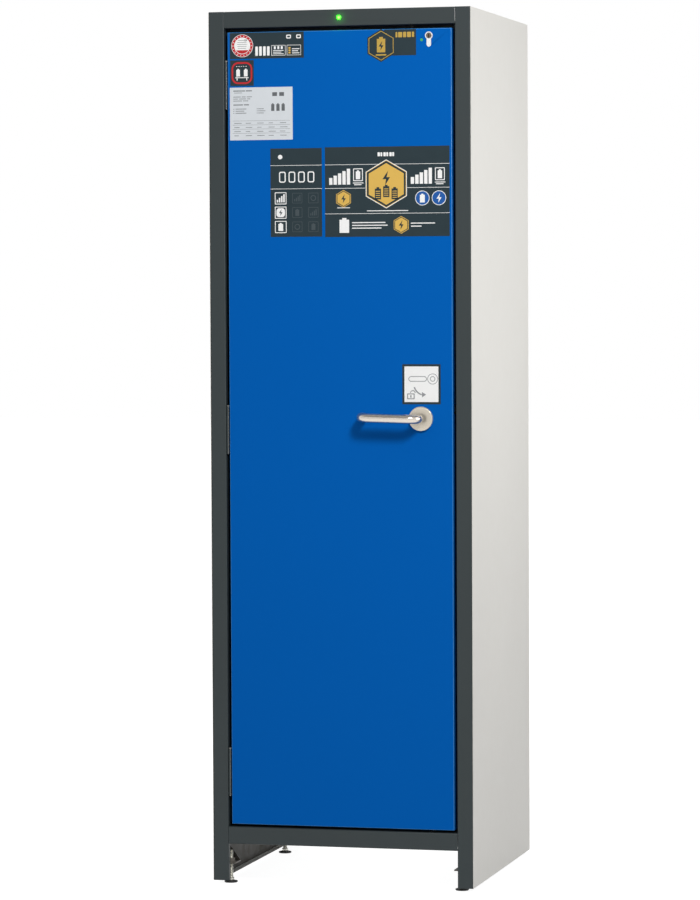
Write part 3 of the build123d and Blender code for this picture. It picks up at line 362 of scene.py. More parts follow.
def named(name):
    """Names the new object and its mesh, applies its place and returns it."""
    piece = bpy.context.object
    piece.name = name
    piece.data.name = name
    bpy.ops.object.transform_apply(location=True, rotation=True, scale=True)
    return piece


def settle(piece, material, body):
    """Applies the piece's place to its mesh, and gives it its finish and its body."""
    only(piece)
    bpy.ops.object.transform_apply(location=True, rotation=True, scale=True)
    piece.data.materials.clear()
    piece.data.materials.append(material)
    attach(piece, body)


def joined(pieces, name):
    """Joins pieces into the first of them under a new name."""
    only(pieces[0])
    for piece in pieces[1:]:
        piece.select_set(True)
    bpy.ops.object.join()
    return named(name)


def edit_all():
    """Opens the piece in edit mode with all of it selected."""
    bpy.ops.object.mode_set(mode="EDIT")
    bpy.ops.mesh.select_all(action="SELECT")


def close_up():
    """Turns all faces outwards and leaves edit mode."""
    bpy.ops.mesh.select_all(action="SELECT")
    bpy.ops.mesh.normals_make_consistent(inside=False)
    bpy.ops.object.mode_set(mode="OBJECT")


def push(x, y, z):
    """Extrudes what is selected by a distance along each axis."""
    bpy.ops.mesh.extrude_region_move(TRANSFORM_OT_translate={"value": (x, y, z)})


def grow(height, factor):
    """Extrudes the selected rim upwards and widens it."""
    push(0, 0, height)
    bpy.ops.transform.resize(value=(factor, factor, 1))


def soften(piece, angle):
    """Shades a piece smooth, with its sharp edges kept."""
    only(piece)
    bpy.ops.object.shade_smooth_by_angle(angle=math.radians(angle))


stud_plate = finish(
    "stud_zinc_plate", zinc_spangle, (0.74, 0.73, 0.66), 0.00003, Shade_spread=0.3, Roughness=0.3,
    Crystals_per_metre=700.0, Metallic=0.7
)
thread_pitch = 0.0015
thread_depth = 0.0007
pad_edge = 0.0008
nut_height = 0.006
shank = 0.005
plain_length = 0.0075
for corner in ("front_left", "front_right", "rear_left", "rear_right"):
    pad_low, pad_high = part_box(f"foot_pad_{corner}")
    middle = (pad_low + pad_high) / 2
    rim = (pad_high.x - pad_low.x) / 2
    pad_height = pad_high.z - pad_low.z
    bpy.ops.mesh.primitive_circle_add(
        vertices=64, radius=rim - pad_edge, location=(middle.x, middle.y, pad_low.z),
        fill_type="NGON",
    )
    pad = named(f"foot_pad_{corner}_moulding")
    edit_all()
    grow(pad_edge, rim / (rim - pad_edge))
    grow(pad_height * 0.4, 1.0)
    grow(0.0006, 1 - 0.0006 / rim)
    grow(pad_height * 0.18, 0.62)
    grow(pad_height - 0.0014 - pad_height * 0.58, 0.86)
    bpy.ops.mesh.inset(thickness=pad_edge)
    push(0, 0, -0.0012)
    close_up()
    soften(pad, 32)
    settle(pad, black_moulding, f"pad_{corner}")
    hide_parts(f"foot_pad_{corner}")

    stud_low, stud_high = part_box(f"foot_stud_{corner}")
    hexagon = (stud_high.y - stud_low.y) / 2
    bpy.ops.mesh.primitive_cylinder_add(
        vertices=6, radius=hexagon, depth=nut_height,
        location=(middle.x, middle.y, pad_high.z + nut_height / 2 + 0.0002),
        rotation=(0, 0, math.pi / 6),
    )
    nut = named("hexagon")
    edit_all()
    bpy.ops.mesh.bevel(offset=0.0005, segments=2, affect="EDGES")
    bpy.ops.object.mode_set(mode="OBJECT")
    bpy.ops.mesh.primitive_circle_add(
        vertices=28, radius=shank, location=(middle.x, middle.y, pad_high.z - 0.001),
        fill_type="NGON",
    )
    stud = named("threaded_rod")
    edit_all()
    grow(plain_length, 1.0)
    narrow = 1 - thread_depth / shank
    turns = int((stud_high.z - pad_high.z - plain_length) / thread_pitch)
    for number in range(turns):
        grow(thread_pitch / 2, narrow)
        grow(thread_pitch / 2, 1 / narrow)
    close_up()
    stud = joined([stud, nut], f"foot_stud_{corner}_thread")
    soften(stud, 25)
    settle(stud, stud_plate, f"stud_{corner}")
    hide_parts(f"foot_stud_{corner}")


# Hinges: three pairs of rolled leaves in the gap beside the door, coated like the frame.
# A band of bright steel on the front right of each roll is a painted highlight, and a
# near-black coat on the side that faces the door is painted shade. Their headed pins drop in from
# above.
tool_steel = finish(
    "machined_steel", zinc_spangle, (0.5, 0.5, 0.5), 0.000004, Shade_spread=0.03, Roughness=0.32,
    Crystals_per_metre=700.0, Metallic=1.0
)
blackened_steel = finish(
    "blackened_steel", zinc_spangle, (0.006, 0.006, 0.0065), 0.000004, Shade_spread=0.05,
    Roughness=0.7, Crystals_per_metre=500.0, Specular_IOR_Level=0.05
)
dress(tool_steel, "spindle", "drive_pinion", "return_spring")
# Painted shade: the rods and the latch are near-black so that they read as shade in the gap round
# the door.
dress(blackened_steel, "head_rod", "foot_rod", "latch_bolt")
pin_steel_and_highlight = finish(
    "pin_steel_and_painted_highlight", zinc_spangle, (0.26, 0.255, 0.24), 0.000003, Shade_spread=0.3,
    Roughness=0.34, Crystals_per_metre=900.0, Metallic=0.6
)
painted_shade_hinge_coat = finish(
    "hinge_coat_painted_shade_in_the_gap", powder_coat, (0.008, 0.01, 0.011), 0.00003, Roughness=0.6,
    Peel_per_metre=900.0, Specular_IOR_Level=0.1
)
pin_low, pin_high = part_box("hinge_pins")
pin_axis = (pin_low + pin_high) / 2
for name in ("hinge_frame_leaves", "hinge_door_leaves"):
    dress(dark_frame_coat, name)
    leaf_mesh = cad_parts[name].data
    leaf_mesh.materials.append(pin_steel_and_highlight)
    leaf_mesh.materials.append(painted_shade_hinge_coat)
    # Painted highlight on roll faces turned 60 to 72 degrees towards the front right; painted shade
    # on faces turned to the right, towards the door.
    for face in leaf_mesh.polygons:
        reach = math.hypot(face.center.x - pin_axis.x, face.center.y - pin_axis.y)
        facing = math.degrees(math.atan2(face.normal.y, face.normal.x))
        if abs(face.normal.z) < 0.5 and reach < 0.006:
            face.material_index = 1 if -72 < facing < -60 else 2 * int(-60 <= facing < 60)
pin_radius = (pin_high.x - pin_low.x) / 2
pin_point = 0.7
pins = []
knuckle_low, knuckle_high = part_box("hinge_door_leaves")
hinge_length = 0.105
hinge_middles = (
    knuckle_low.z + hinge_length / 2, (knuckle_low.z + knuckle_high.z) / 2,
    knuckle_high.z - hinge_length / 2,
)
for number, level in enumerate(hinge_middles):
    bpy.ops.mesh.primitive_circle_add(
        vertices=32, radius=pin_radius * pin_point,
        location=(pin_axis.x, pin_axis.y, level - hinge_length / 2 - 0.0016), fill_type="NGON",
    )
    pin = named(f"hinge_pin_{number}")
    edit_all()
    grow(0.0006, 1 / pin_point)
    grow(hinge_length + 0.0012, 1.0)
    grow(0.0002, 1.6)
    grow(0.0012, 1.0)
    grow(0.0005, 0.75)
    bpy.ops.mesh.inset(thickness=0.0006)
    push(0, 0, 0.0002)
    close_up()
    pins.append(pin)
headed_pins = joined(pins, "hinge_pins_headed")
soften(headed_pins, 35)
settle(headed_pins, pin_steel_and_highlight, "cabinet")
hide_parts("hinge_pins")


# Panel screws: zinc-plated screws with a countersunk head and a hexagon socket, driven
# flush through the rear panel into its board, in two columns.


def pick_faces(piece, test):
    """Selects the faces whose middle and normal pass the test, in edit mode."""
    bpy.ops.object.mode_set(mode="OBJECT")
    mesh = piece.data
    for vertex in mesh.vertices:
        vertex.select = False
    for edge in mesh.edges:
        edge.select = False
    for face in mesh.polygons:
        face.select = test(face.center, face.normal)
    bpy.ops.object.mode_set(mode="EDIT")
    bpy.ops.mesh.select_mode(type="FACE")


def round_face(piece, side, width, segments):
    """Rounds the rim of a piece's front (-1) or back (1) face, and selects its flat."""
    pick_faces(piece, lambda middle, normal: normal.y * side > 0.9)
    bpy.ops.mesh.bevel(offset=width, segments=segments, affect="EDGES")
    pick_faces(piece, lambda middle, normal: normal.y * side > 0.99)


panel_low, panel_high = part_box("rear_panel")
head_radius = 0.0045
head_height = 0.0024
head_rounding = 0.0016
socket_half = 0.0015
head_proud = 0.0001
socket_depth = 0.00007
edge_margin = 0.016
screw_rows = 7
bpy.ops.mesh.primitive_cylinder_add(
    vertices=24, radius=head_radius, depth=head_height,
    location=(0, panel_high.y + head_proud - head_height / 2, 0), rotation=(-math.pi / 2, 0, 0),
)
screw = named("panel_screw")
round_face(screw, 1, head_rounding, 4)
bpy.ops.mesh.inset(thickness=head_radius - head_rounding - socket_half * 1.2)
bpy.ops.object.mode_set(mode="OBJECT")
for vertex in screw.data.vertices:
    reach = math.hypot(vertex.co.x, vertex.co.z)
    if reach < socket_half * 1.4 and vertex.co.y > panel_high.y:
        corner_angle = math.atan2(vertex.co.z, vertex.co.x) % (math.pi / 3) - math.pi / 6
        factor = socket_half / math.cos(corner_angle) / reach
        vertex.co.x *= factor
        vertex.co.z *= factor
pick_faces(
    screw, lambda middle, normal: normal.y > 0.99 and math.hypot(middle.x, middle.z) < 0.0002
)
push(0, -socket_depth, 0)
bpy.ops.object.mode_set(mode="OBJECT")
soften(screw, 30)
screw.data.materials.append(stud_plate)
screw.data.materials.append(blackened_steel)
# Painted shade: the faces inside the shallow socket take the near-black steel.
for face in screw.data.polygons:
    middle = face.center
    face.material_index = int(math.hypot(middle.x, middle.z) < 0.0002 and middle.y > panel_high.y)
screws = []
for side in (panel_low.x + edge_margin, panel_high.x - edge_margin):
    for row in range(screw_rows):
        height = panel_high.z - panel_low.z - 2 * edge_margin
        only(screw)
        bpy.ops.object.duplicate()
        driven = named(f"panel_screw_{len(screws)}")
        driven.location = (side, 0, panel_low.z + edge_margin + height * row / (screw_rows - 1))
        screws.append(driven)
bpy.data.objects.remove(screw)
rear_screws = joined(screws, "rear_panel_screws")
marks = [face.material_index for face in rear_screws.data.polygons]
settle(rear_screws, stud_plate, "cabinet")
rear_screws.data.materials.append(blackened_steel)
for face, mark in zip(rear_screws.data.polygons, marks):
    face.material_index = mark


# Door: a blue powder-coated skin folded round a fire board, with a sheet behind it.
# A frame of black foam with a rounded back is glued on as a seal.
blue_door_coat = finish(
    "blue_powder_coat", powder_coat, (0.0, 0.118, 0.485), 0.00002, Shade_spread=0.012,
    Roughness=0.42, Peel_per_metre=650.0, Specular_IOR_Level=0.04
)
seal_foam = finish(
    "seal_foam", moulded_skin, (0.03, 0.03, 0.032), 0.0001, Roughness=0.8, Grain_per_metre=700.0
)
# Painted highlight: a lighter, glossier blue on the rounded folds that face the front, for light
# caught along the door's edges.
fold_painted_highlight = finish(
    "blue_coat_painted_highlight_on_the_folds", powder_coat, (0.03, 0.23, 0.6), 0.00001, Roughness=0.3,
    Peel_per_metre=650.0, Specular_IOR_Level=0.5
)
dress(blue_door_coat, "door_skin")
skin_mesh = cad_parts["door_skin"].data
skin_mesh.materials.append(fold_painted_highlight)
for face in skin_mesh.polygons:
    turned = abs(face.normal.x) + abs(face.normal.z)
    face.material_index = int(face.normal.y < -0.25 and turned > 0.25)
ease_edges(0.0004, "door_skin")
seal_low, seal_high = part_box("door_seal")
seal_width = 0.022
seal_height = seal_high.y - seal_low.y
bpy.ops.mesh.primitive_plane_add(
    size=1.0, location=((seal_low.x + seal_high.x) / 2, seal_low.y, (seal_low.z + seal_high.z) / 2),
    rotation=(-math.pi / 2, 0, 0),
)
bpy.context.object.scale = (seal_high.x - seal_low.x, seal_high.z - seal_low.z, 1.0)
seal = named("door_seal_foam")
edit_all()
bpy.ops.mesh.inset(thickness=seal_width)
bpy.ops.mesh.delete(type="FACE")
bpy.ops.mesh.select_all(action="SELECT")
for rise, margin in ((0.3, 0.0008), (0.25, 0.0012), (0.2, 0.0018), (0.15, 0.0026)):
    push(0, seal_height * rise, 0)
    bpy.ops.mesh.inset(thickness=margin)
push(0, seal_height * 0.1, 0)
bpy.ops.mesh.inset(thickness=0.0022)
push(0, -seal_height * 0.35, 0)
close_up()
soften(seal, 50)
settle(seal, seal_foam, "door")
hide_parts("door_seal")


# Lock: a die-cast case with its cover in the door core. A pinion on the lever's
# spindle drives the racks on the two rods and the latch.
cast_zinc = finish(
    "cast_zinc", zinc_spangle, (0.42, 0.43, 0.44), 0.00002, Shade_spread=0.05, Roughness=0.5,
    Crystals_per_metre=250.0, Metallic=0.9
)
dress(cast_zinc, "lock_case")


# Lever handle: a bent stainless tube, brushed along its length, with its neck
# running in a round rose that is screwed to the door.


def make_brushed_steel():
    """Hairlines of brushed stainless steel, along one direction or round an axis."""
    group, entry, place = start_group(
        "brushed_steel",
        {
            "Colour": (0.6, 0.58, 0.55, 1.0), "Shade spread": 0.1, "Roughness": 0.3,
            "Hairlines": (40.0, 2500.0, 2500.0), "Centre": (0.0, 0.0, 0.0), "Turned": 0.0,
        },
    )
    centred = put(
        group, "ShaderNodeVectorMath", {0: place, 1: entry["Centre"]}, operation="SUBTRACT"
    )
    flat = put(
        group, "ShaderNodeVectorMath", {0: centred.outputs[0], 1: (1.0, 0.0, 1.0)},
        operation="MULTIPLY",
    )
    radius = put(group, "ShaderNodeVectorMath", {0: flat.outputs[0]}, operation="LENGTH")
    rings = put(group, "ShaderNodeCombineXYZ", {0: 0.0, 1: 0.0, 2: radius.outputs["Value"]})
    chosen = put(
        group, "ShaderNodeMix", {0: entry["Turned"], 4: centred.outputs[0], 5: rings.outputs[0]},
        data_type="VECTOR",
    )
    stretched = put(
        group, "ShaderNodeVectorMath", {0: chosen.outputs[1], 1: entry["Hairlines"]},
        operation="MULTIPLY",
    )
    hairs = put(
        group, "ShaderNodeTexNoise",
        {"Vector": stretched.outputs[0], "Scale": 1.0, "Detail": 3.0, "Roughness": 0.6},
    )
    shade = spread_about(group, hairs.outputs[0], 1.0, entry["Shade spread"])
    gloss = spread_about(group, hairs.outputs[0], entry["Roughness"], 0.08)
    return end_group(group, tint(group, entry["Colour"], shade), gloss, hairs.outputs[0])


brushed_steel = make_brushed_steel()
lever_finish = finish(
    "brushed_lever_steel", brushed_steel, (0.66, 0.6, 0.53), 0.00001, Roughness=0.25, Metallic=0.95
)
lever_low, lever_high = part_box("lever")
rose_low, rose_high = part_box("handle_rose")
lever_radius = 0.01
lever_bend = 0.022
lever_length = 0.129
lever_tilt = 1.6
bend_steps = 14
neck = (rose_low + rose_high) / 2
neck.y = lever_high.y
grip_y = lever_low.y + lever_radius
far_x = neck.x - lever_length
end_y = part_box("door_skin")[0].y - 0.01
bpy.ops.mesh.primitive_circle_add(
    vertices=56, radius=lever_radius, location=neck, rotation=(math.pi / 2, 0, 0)
)
lever = named("lever_tube")
edit_all()
push(0, grip_y + lever_bend - neck.y, 0)
bpy.ops.mesh.spin(
    steps=bend_steps, angle=math.pi / 2, center=(neck.x - lever_bend, grip_y + lever_bend, neck.z),
    axis=(0, 0, 1),
)
push(far_x - neck.x + 2 * lever_bend, 0, 0)
bpy.ops.mesh.spin(
    steps=bend_steps, angle=math.pi / 2, center=(far_x + lever_bend, grip_y + lever_bend, neck.z),
    axis=(0, 0, 1),
)
push(0, end_y - grip_y - lever_bend, 0)
bpy.ops.mesh.edge_face_add()
bpy.ops.mesh.bevel(offset=0.0012, segments=4, affect="EDGES")
bpy.ops.mesh.select_all(action="SELECT")
bpy.ops.mesh.remove_doubles(threshold=0.000001)
bpy.ops.mesh.normals_make_consistent(inside=False)
bpy.ops.object.mode_set(mode="OBJECT")
soften(lever, 35)
lever.matrix_world = (
    Matrix.Translation(neck)
    @ Matrix.Rotation(math.radians(lever_tilt), 4, "Y")
    @ Matrix.Translation(-neck)
)
settle(lever, lever_finish, "handle")
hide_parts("lever")

rose_finish = finish(
    "turned_rose_steel", brushed_steel, (0.66, 0.6, 0.5), 0.00001, Centre=neck, Turned=1.0,
    Hairlines=(1.0, 1.0, 3000.0), Metallic=0.7
)
rose_radius = (rose_high.x - rose_low.x) / 2
rose_depth = rose_high.y - rose_low.y
rose_rounding = 0.0018
bpy.ops.mesh.primitive_cylinder_add(
    vertices=96, radius=rose_radius, depth=rose_depth,
    location=(neck.x, (rose_low.y + rose_high.y) / 2, neck.z), rotation=(math.pi / 2, 0, 0),
)
rose = named("handle_rose_cover")
round_face(rose, -1, rose_rounding, 5)
bpy.ops.mesh.inset(thickness=rose_radius - rose_rounding - lever_radius - 0.0016)
bpy.ops.mesh.inset(thickness=0.0006)
push(0, 0.0012, 0)
bpy.ops.object.mode_set(mode="OBJECT")
soften(rose, 35)
settle(rose, rose_finish, "door")
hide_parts("handle_rose")


# Profile cylinder: nickel-plated, with its rounded tongue below and the plug that
# the key turns. A flag behind the small window shows whether it is locked.
nickel = finish(
    "bright_nickel", brushed_steel, (0.93, 0.93, 0.93), 0.000004, Roughness=0.25,
    Hairlines=(1200.0, 1200.0, 1200.0), Shade_spread=0.03, Metallic=0.25
)
plug_bronze = finish(
    "worn_plug_bronze", brushed_steel, (0.19, 0.15, 0.12), 0.000004, Roughness=0.28,
    Hairlines=(1200.0, 1200.0, 1200.0), Shade_spread=0.1, Metallic=0.8
)
flag_green = finish("green_flag_film", moulded_skin, (0.01, 0.5, 0.05), 0.00001, Roughness=0.4)
# Painted glow: the small window over the flag is green plastic that gives off light of its own,
# with no lamp behind it.
window_painted_glow = finish(
    "green_window_painted_glow", moulded_skin, (0.04, 0.3, 0.1), 0.000002, Roughness=0.15,
    Grain_per_metre=600.0, Emission_Color=(0.04, 0.3, 0.1, 1.0), Emission_Strength=0.4
)
dress(nickel, "lock_cylinder")
dress(plug_bronze, "key_plug")
ease_edges(0.0004, "lock_cylinder", "key_plug")
dress(flag_green, "status_flag")
dress(window_painted_glow, "status_window")


# Status lamp: a domed green lens in a clear collar, pushed into the middle of the top
# rail from the front. The collar carries some of its light to the sheet round it.
lamp_low, lamp_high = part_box("status_led")
lamp_middle = (lamp_low + lamp_high) / 2
collar_radius = (lamp_high.x - lamp_low.x) / 2
collar_width = 0.0018
clear_depth = 0.003


def glowing(name, core, rim, strength):
    """Moulded clear plastic with light in it, uneven as a lens with an emitter is."""
    material = bpy.data.materials.new(name)
    material.use_nodes = True
    tree = material.node_tree
    shader = tree.nodes["Principled BSDF"]
    place = put(tree, "ShaderNodeTexCoord").outputs["Object"]
    cloud = put(tree, "ShaderNodeTexNoise", {"Vector": place, "Scale": 900.0, "Detail": 2.0})
    mixed = put(tree, "ShaderNodeMix", {0: cloud.outputs[0], 6: rim, 7: core}, data_type="RGBA")
    for socket in ("Base Color", "Emission Color"):
        tree.links.new(mixed.outputs[2], shader.inputs[socket])
    shader.inputs["Emission Strength"].default_value = strength
    shader.inputs["Roughness"].default_value = 0.15
    return material


lens_glow = glowing("green_lamp_lens", (0.3, 0.95, 0.14, 1.0), (0.16, 0.75, 0.06, 1.0), 0.9)
collar_glow = glowing("green_lamp_collar", (0.05, 0.36, 0.02, 1.0), (0.03, 0.22, 0.015, 1.0), 0.7)
bpy.ops.mesh.primitive_cylinder_add(
    vertices=48, radius=collar_radius, depth=lamp_high.y - lamp_low.y - 0.0006,
    location=(lamp_middle.x, lamp_middle.y + 0.0003, lamp_middle.z), rotation=(math.pi / 2, 0, 0),
)
lamp = named("status_led_lens")
round_face(lamp, -1, 0.0005, 3)
bpy.ops.mesh.inset(thickness=0.0016)
push(0, 0.0004, 0)
bpy.ops.mesh.inset(thickness=0.0002)
for step in range(5):
    push(0, -0.0004 + 0.00006 * step, 0)
    shrink = (0.97, 0.9, 0.8, 0.66, 0.42)[step]
    bpy.ops.transform.resize(value=(shrink, 1, shrink))
bpy.ops.object.mode_set(mode="OBJECT")
soften(lamp, 40)
settle(lamp, lens_glow, "cabinet")
lamp.data.materials.append(collar_glow)
lamp.data.materials.append(black_moulding)
for face in lamp.data.polygons:
    from_axis = math.hypot(face.center.x - lamp_middle.x, face.center.z - lamp_middle.z)
    if from_axis > collar_radius - collar_width:
        face.material_index = 1
    if face.center.y > lamp_low.y + clear_depth:
        face.material_index = 2
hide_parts("status_led")
bpy.ops.object.light_add(type="POINT", location=(lamp_middle.x, lamp_low.y - 0.0035, lamp_middle.z))
lamp_light = bpy.context.object
lamp_light.name = "status_led_light"
lamp_light.data.energy = 0.018
lamp_light.data.color = (0.05, 1.0, 0.03)
lamp_light.data.shadow_soft_size = 0.002
lamp_light.visible_camera = False


# Signs on the door: printed films on thin plates, stuck on the blue skin. Every mark is a
# thin layer of ink over its plate, and none of it is lettering. Places and sizes are in
# millimetres, measured from a sheet's lower left corner or from its middle.
door_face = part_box("door_skin")[0].y
film = 0.00025
ink = 0.00006


def printed_colour(name, colour):
    """Satin print on film: one ink, with the faint drift of a screen print."""
    return finish(
        name, moulded_skin, colour, 0.000004, Shade_spread=0.015, Roughness=0.35,
        Grain_per_metre=2600.0, Specular_IOR_Level=0.3
    )


dark_ink = printed_colour("dark_sign_ink", (0.013, 0.029, 0.037))
white_ink = printed_colour("white_sign_ink", (0.97, 0.97, 0.96))
faded_ink = printed_colour("faded_sign_ink", (0.055, 0.075, 0.085))
grey_ink = printed_colour("grey_sign_ink", (0.3, 0.31, 0.32))
plate_ink = printed_colour("plate_figures_ink", (0.13, 0.14, 0.15))
plate_white = printed_colour("plate_white", (0.72, 0.755, 0.79))
amber_ink = printed_colour("amber_sign_ink", (0.76, 0.48, 0.1))
dull_amber_ink = printed_colour("dull_amber_sign_ink", (0.55, 0.36, 0.07))
blue_ink = printed_colour("blue_sign_ink", (0.01, 0.1, 0.38))
red_ink = printed_colour("red_sign_ink", (0.55, 0.02, 0.025))


def bar(x, z, width, height):
    """Corners of an upright rectangle from its lower left corner."""
    return [(x, z), (x + width, z), (x + width, z + height), (x, z + height)]


def ring_of(x, z, radius, corners, turn=0.0):
    """Corners evenly round a circle, the first one to the right."""
    step = 2 * math.pi / corners
    return [
        (x + radius * math.cos(turn + step * i), z + radius * math.sin(turn + step * i))
        for i in range(corners)
    ]


def disc(x, z, radius):
    """Outline of a disc."""
    return ring_of(x, z, radius, 48)


def hexagon_of(x, z, radius):
    """Corners of a hexagon that stands on a point."""
    return ring_of(x, z, radius, 6, math.pi / 6)


def cell(x, z, width, height):
    """Outline of a standing battery cell with its terminal, from its foot's middle."""
    half = width / 2
    cap = width * 0.22
    shoulder = z + height * 0.88
    return [
        (x - half, z), (x + half, z), (x + half, shoulder), (x + cap, shoulder),
        (x + cap, z + height), (x - cap, z + height), (x - cap, shoulder), (x - half, shoulder),
    ]


def bolt(x, z, height):
    """Outline of a lightning bolt from its lowest point."""
    wide = height * 0.27
    return [
        (x - wide * 0.3, z), (x + wide, z + height * 0.56), (x + wide * 0.1, z + height * 0.56),
        (x + wide * 0.5, z + height), (x - wide, z + height * 0.42),
        (x - wide * 0.05, z + height * 0.42),
    ]


def arc(x, z, radius, start, end, steps):
    """Points evenly along a part of a circle, its angles in degrees."""
    angles = [math.radians(start + (end - start) * i / steps) for i in range(steps + 1)]
    return [(x + radius * math.cos(a), z + radius * math.sin(a)) for a in angles]


def arc_band(x, z, radius, width, start, end):
    """Outline of a curved stroke round a centre, its angles in degrees."""
    outer = arc(x, z, radius + width / 2, start, end, 20)
    return outer + arc(x, z, radius - width / 2, start, end, 20)[::-1]


def rounded(x, z, width, height, radius):
    """Corners of a rectangle with rounded corners, from its lower left corner."""
    left, right, low, high = x + radius, x + width - radius, z + radius, z + height - radius
    points = []
    for cx, cz, start in ((right, low, -90), (right, high, 0), (left, high, 90), (left, low, 180)):
        points += arc(cx, cz, radius, start, start + 90, 6)
    return points


def frame_of(x, z, width, height, line, outer, inner):
    """The two outlines of a frame with rounded corners: its edge and its hole."""
    hole = rounded(x + line, z + line, width - 2 * line, height - 2 * line, inner)
    return [rounded(x, z, width, height, outer), hole]


def layer_of(name, sheet, outlines, deck, material, thickness=None):
    """Flat outlines on one sheet of the door: deck 0 is its plate, and 1 to 3 are inks."""
    level = film + (deck - 1) * ink if deck else 0
    thickness = thickness or (ink if deck else film)
    curve = bpy.data.curves.new(name, "CURVE")
    curve.dimensions = "2D"
    curve.fill_mode = "BOTH"
    curve.extrude = thickness / 2
    for outline in outlines:
        spline = curve.splines.new("POLY")
        spline.points.add(len(outline) - 1)
        for point, (x, z) in zip(spline.points, outline):
            point.co = ((sheet[0] + x) / 1000, (sheet[1] + z) / 1000, 0, 1)
        spline.use_cyclic_u = True
    piece = bpy.data.objects.new(name, curve)
    bpy.context.scene.collection.objects.link(piece)
    only(piece)
    bpy.ops.object.convert(target="MESH")
    piece = named(name)
    piece.rotation_euler = (math.pi / 2, 0, 0)
    piece.location = (0, door_face - level - thickness / 2, 0)
    settle(piece, material, "door")


# Handle sign: a white square with a dark border above the lever. Line drawing of the
# lever, a curved arrow down and an open padlock.
handle_sign = (141.6, 1080.0)
sign_width = 87.0
sign_height = 88.6
sign_border = 5.0
layer_of(
    "handle_sign_border", handle_sign, [rounded(0, 0, sign_width, sign_height, 1.5)], 0, dark_ink
)
sign_face = bar(
    sign_border, sign_border, sign_width - 2 * sign_border, sign_height - 2 * sign_border
)
layer_of("handle_sign_face", handle_sign, [sign_face], 1, white_ink)
layer_of(
    "handle_sign_drawing", handle_sign,
    [
        *frame_of(14, 50, 42, 12, 1.6, 6, 4.4), disc(69, 56, 12), disc(69, 56, 10.6),
        disc(69, 56, 6), disc(69, 56, 4.4), arc_band(52, 46, 26, 3, 198, 252),
        [(44.6, 15), (54, 21.5), (44.6, 27)], *frame_of(11, 11, 17, 13, 2.2, 1.5, 1),
        bar(18, 14.6, 3, 5.6), arc_band(24, 25, 5.2, 2, 0, 180),
    ],
    2, grey_ink,
)

# Banner and square at the top left: dark films with a round badge, cell marks and
# short white bars.
banner = (-250.4, 1848.0)
banner_height = 57.8
layer_of("banner", banner, [bar(0, 0, 170.5, banner_height)], 0, dark_ink)
badge = (banner[0] + 28.8, banner[1] + banner_height / 2)
layer_of("badge_disc", badge, [disc(0, 0, 25.2)], 1, white_ink)
layer_of(
    "badge_ring", badge,
    [
        disc(0, 0, 24.2), disc(0, 0, 18.6),
        *[ring_of(x, z, 1.2, 6) for x, z in ring_of(0, 0, 21.4, 18)], arc(0, 0, 17.4, 214, 326, 16),
    ],
    2, red_ink,
)
badge_rows = [bar(abs(i - 2) - 12, 4.4 * i - 6, 23 - 2 * abs(i - 2), 1.1) for i in range(5)]
layer_of("badge_rows", badge, badge_rows + [rounded(4, 10, 7, 4, 1.5)], 2, grey_ink)
banner_marks = [rounded(58.8 + 9 * i, 6.2, 6.2, 20.6, 1.6) for i in range(4)]
for start in (96, 131.5):
    banner_marks += frame_of(start, 6, 32.5, 22.8, 0.9, 1.2, 0.8)
banner_marks += [bar(100, 9 + 3.6 * i, 24 - 5 * (i % 2), 1.5) for i in range(3)]
banner_marks += [cell(104 + 8 * i, 20, 4.4, 7) for i in range(3)]
banner_marks += [bar(143.5, 10 + 4.6 * i, 17 - 3 * (i % 2), 1.8) for i in range(3)]
for start in (130.4, 153.3):
    banner_marks += frame_of(start, 43, 10.8, 8.6, 2.2, 2.4, 1)
layer_of("banner_marks", banner, banner_marks, 1, white_ink)
colour_bars = [bar(135.4, 10 + 5.2 * i, 4.6, 3.6) for i in range(3)]
layer_of("banner_colour_bars", banner, colour_bars, 1, amber_ink)

small_square = (-249.9, 1788.0)
layer_of("small_square", small_square, [bar(0, 0, 54.4, 57)], 0, dark_ink)
small_ring = frame_of(3.2, 4.2, 48, 48.6, 3.8, 15, 11.6)
layer_of("small_square_ring", small_square, small_ring, 1, red_ink)
small_marks = [cell(18.4 + 17.6 * i, 21, 8.6, 17) for i in range(2)]
small_marks += [bar(12, 17.4, 30.4, 1.8), bar(15, 12, 2, 5.4), bar(37.4, 12, 2, 5.4)]
small_marks += [bar(14 + 5.4 * i, 42.6, 2.6, 1.4) for i in range(5)]
layer_of("small_square_marks", small_square, small_marks, 1, white_ink)

# Data plate: a pale film with rows of grey bars where a plate has its figures, and ruled
# lines with short entries below them.
data_plate = (-250.9, 1667.4)
plate_width = 144.6
plate_top = 117.0
layer_of("data_plate", data_plate, [bar(0, 0, plate_width, plate_top)], 0, plate_white)
row_marks = [
    bar(8, plate_top - 8.6, 27, 2), bar(37, plate_top - 8.6, 14, 2),
    bar(10, plate_top - 12.4, 18, 1),
]
for row, pieces in enumerate(((17, 9, 12), (11, 16, 7), (20, 12))):
    start = 8
    for width in pieces:
        row_marks.append(bar(start, plate_top - 21.6 - 4.4 * row, width, 1.3))
        start += width + 2.4
row_marks += [bar(8, plate_top - 39.6, 22, 2), bar(32, plate_top - 39.6, 12, 2)]
for row in range(3):
    level = plate_top - 48.4 - 4.6 * row
    row_marks += [bar(8, level, 2, 1.4), bar(13, level, 25 - 5 * (row % 2), 1.3)]
    row_marks.append(bar(62, level, 16 + 4 * (row % 2), 1.2))
for row in range(4):
    row_marks.append(bar(6, 42.6 - 9.2 * row, plate_width - 12, 0.5))
    for column in range(5):
        width = (17, 12, 15, 10, 14)[(row + column) % 5]
        row_marks.append(bar(10 + 26.4 * column, 37 - 9.2 * row, width, 1.1))
row_marks += [cell(99 + 12 * i, plate_top - 53, 7.4, 17) for i in range(3)]
row_marks += [bar(98 + 16 * i, plate_top - 20, 11, 8.4) for i in range(2)]
layer_of("data_plate_marks", data_plate, row_marks, 1, plate_ink)

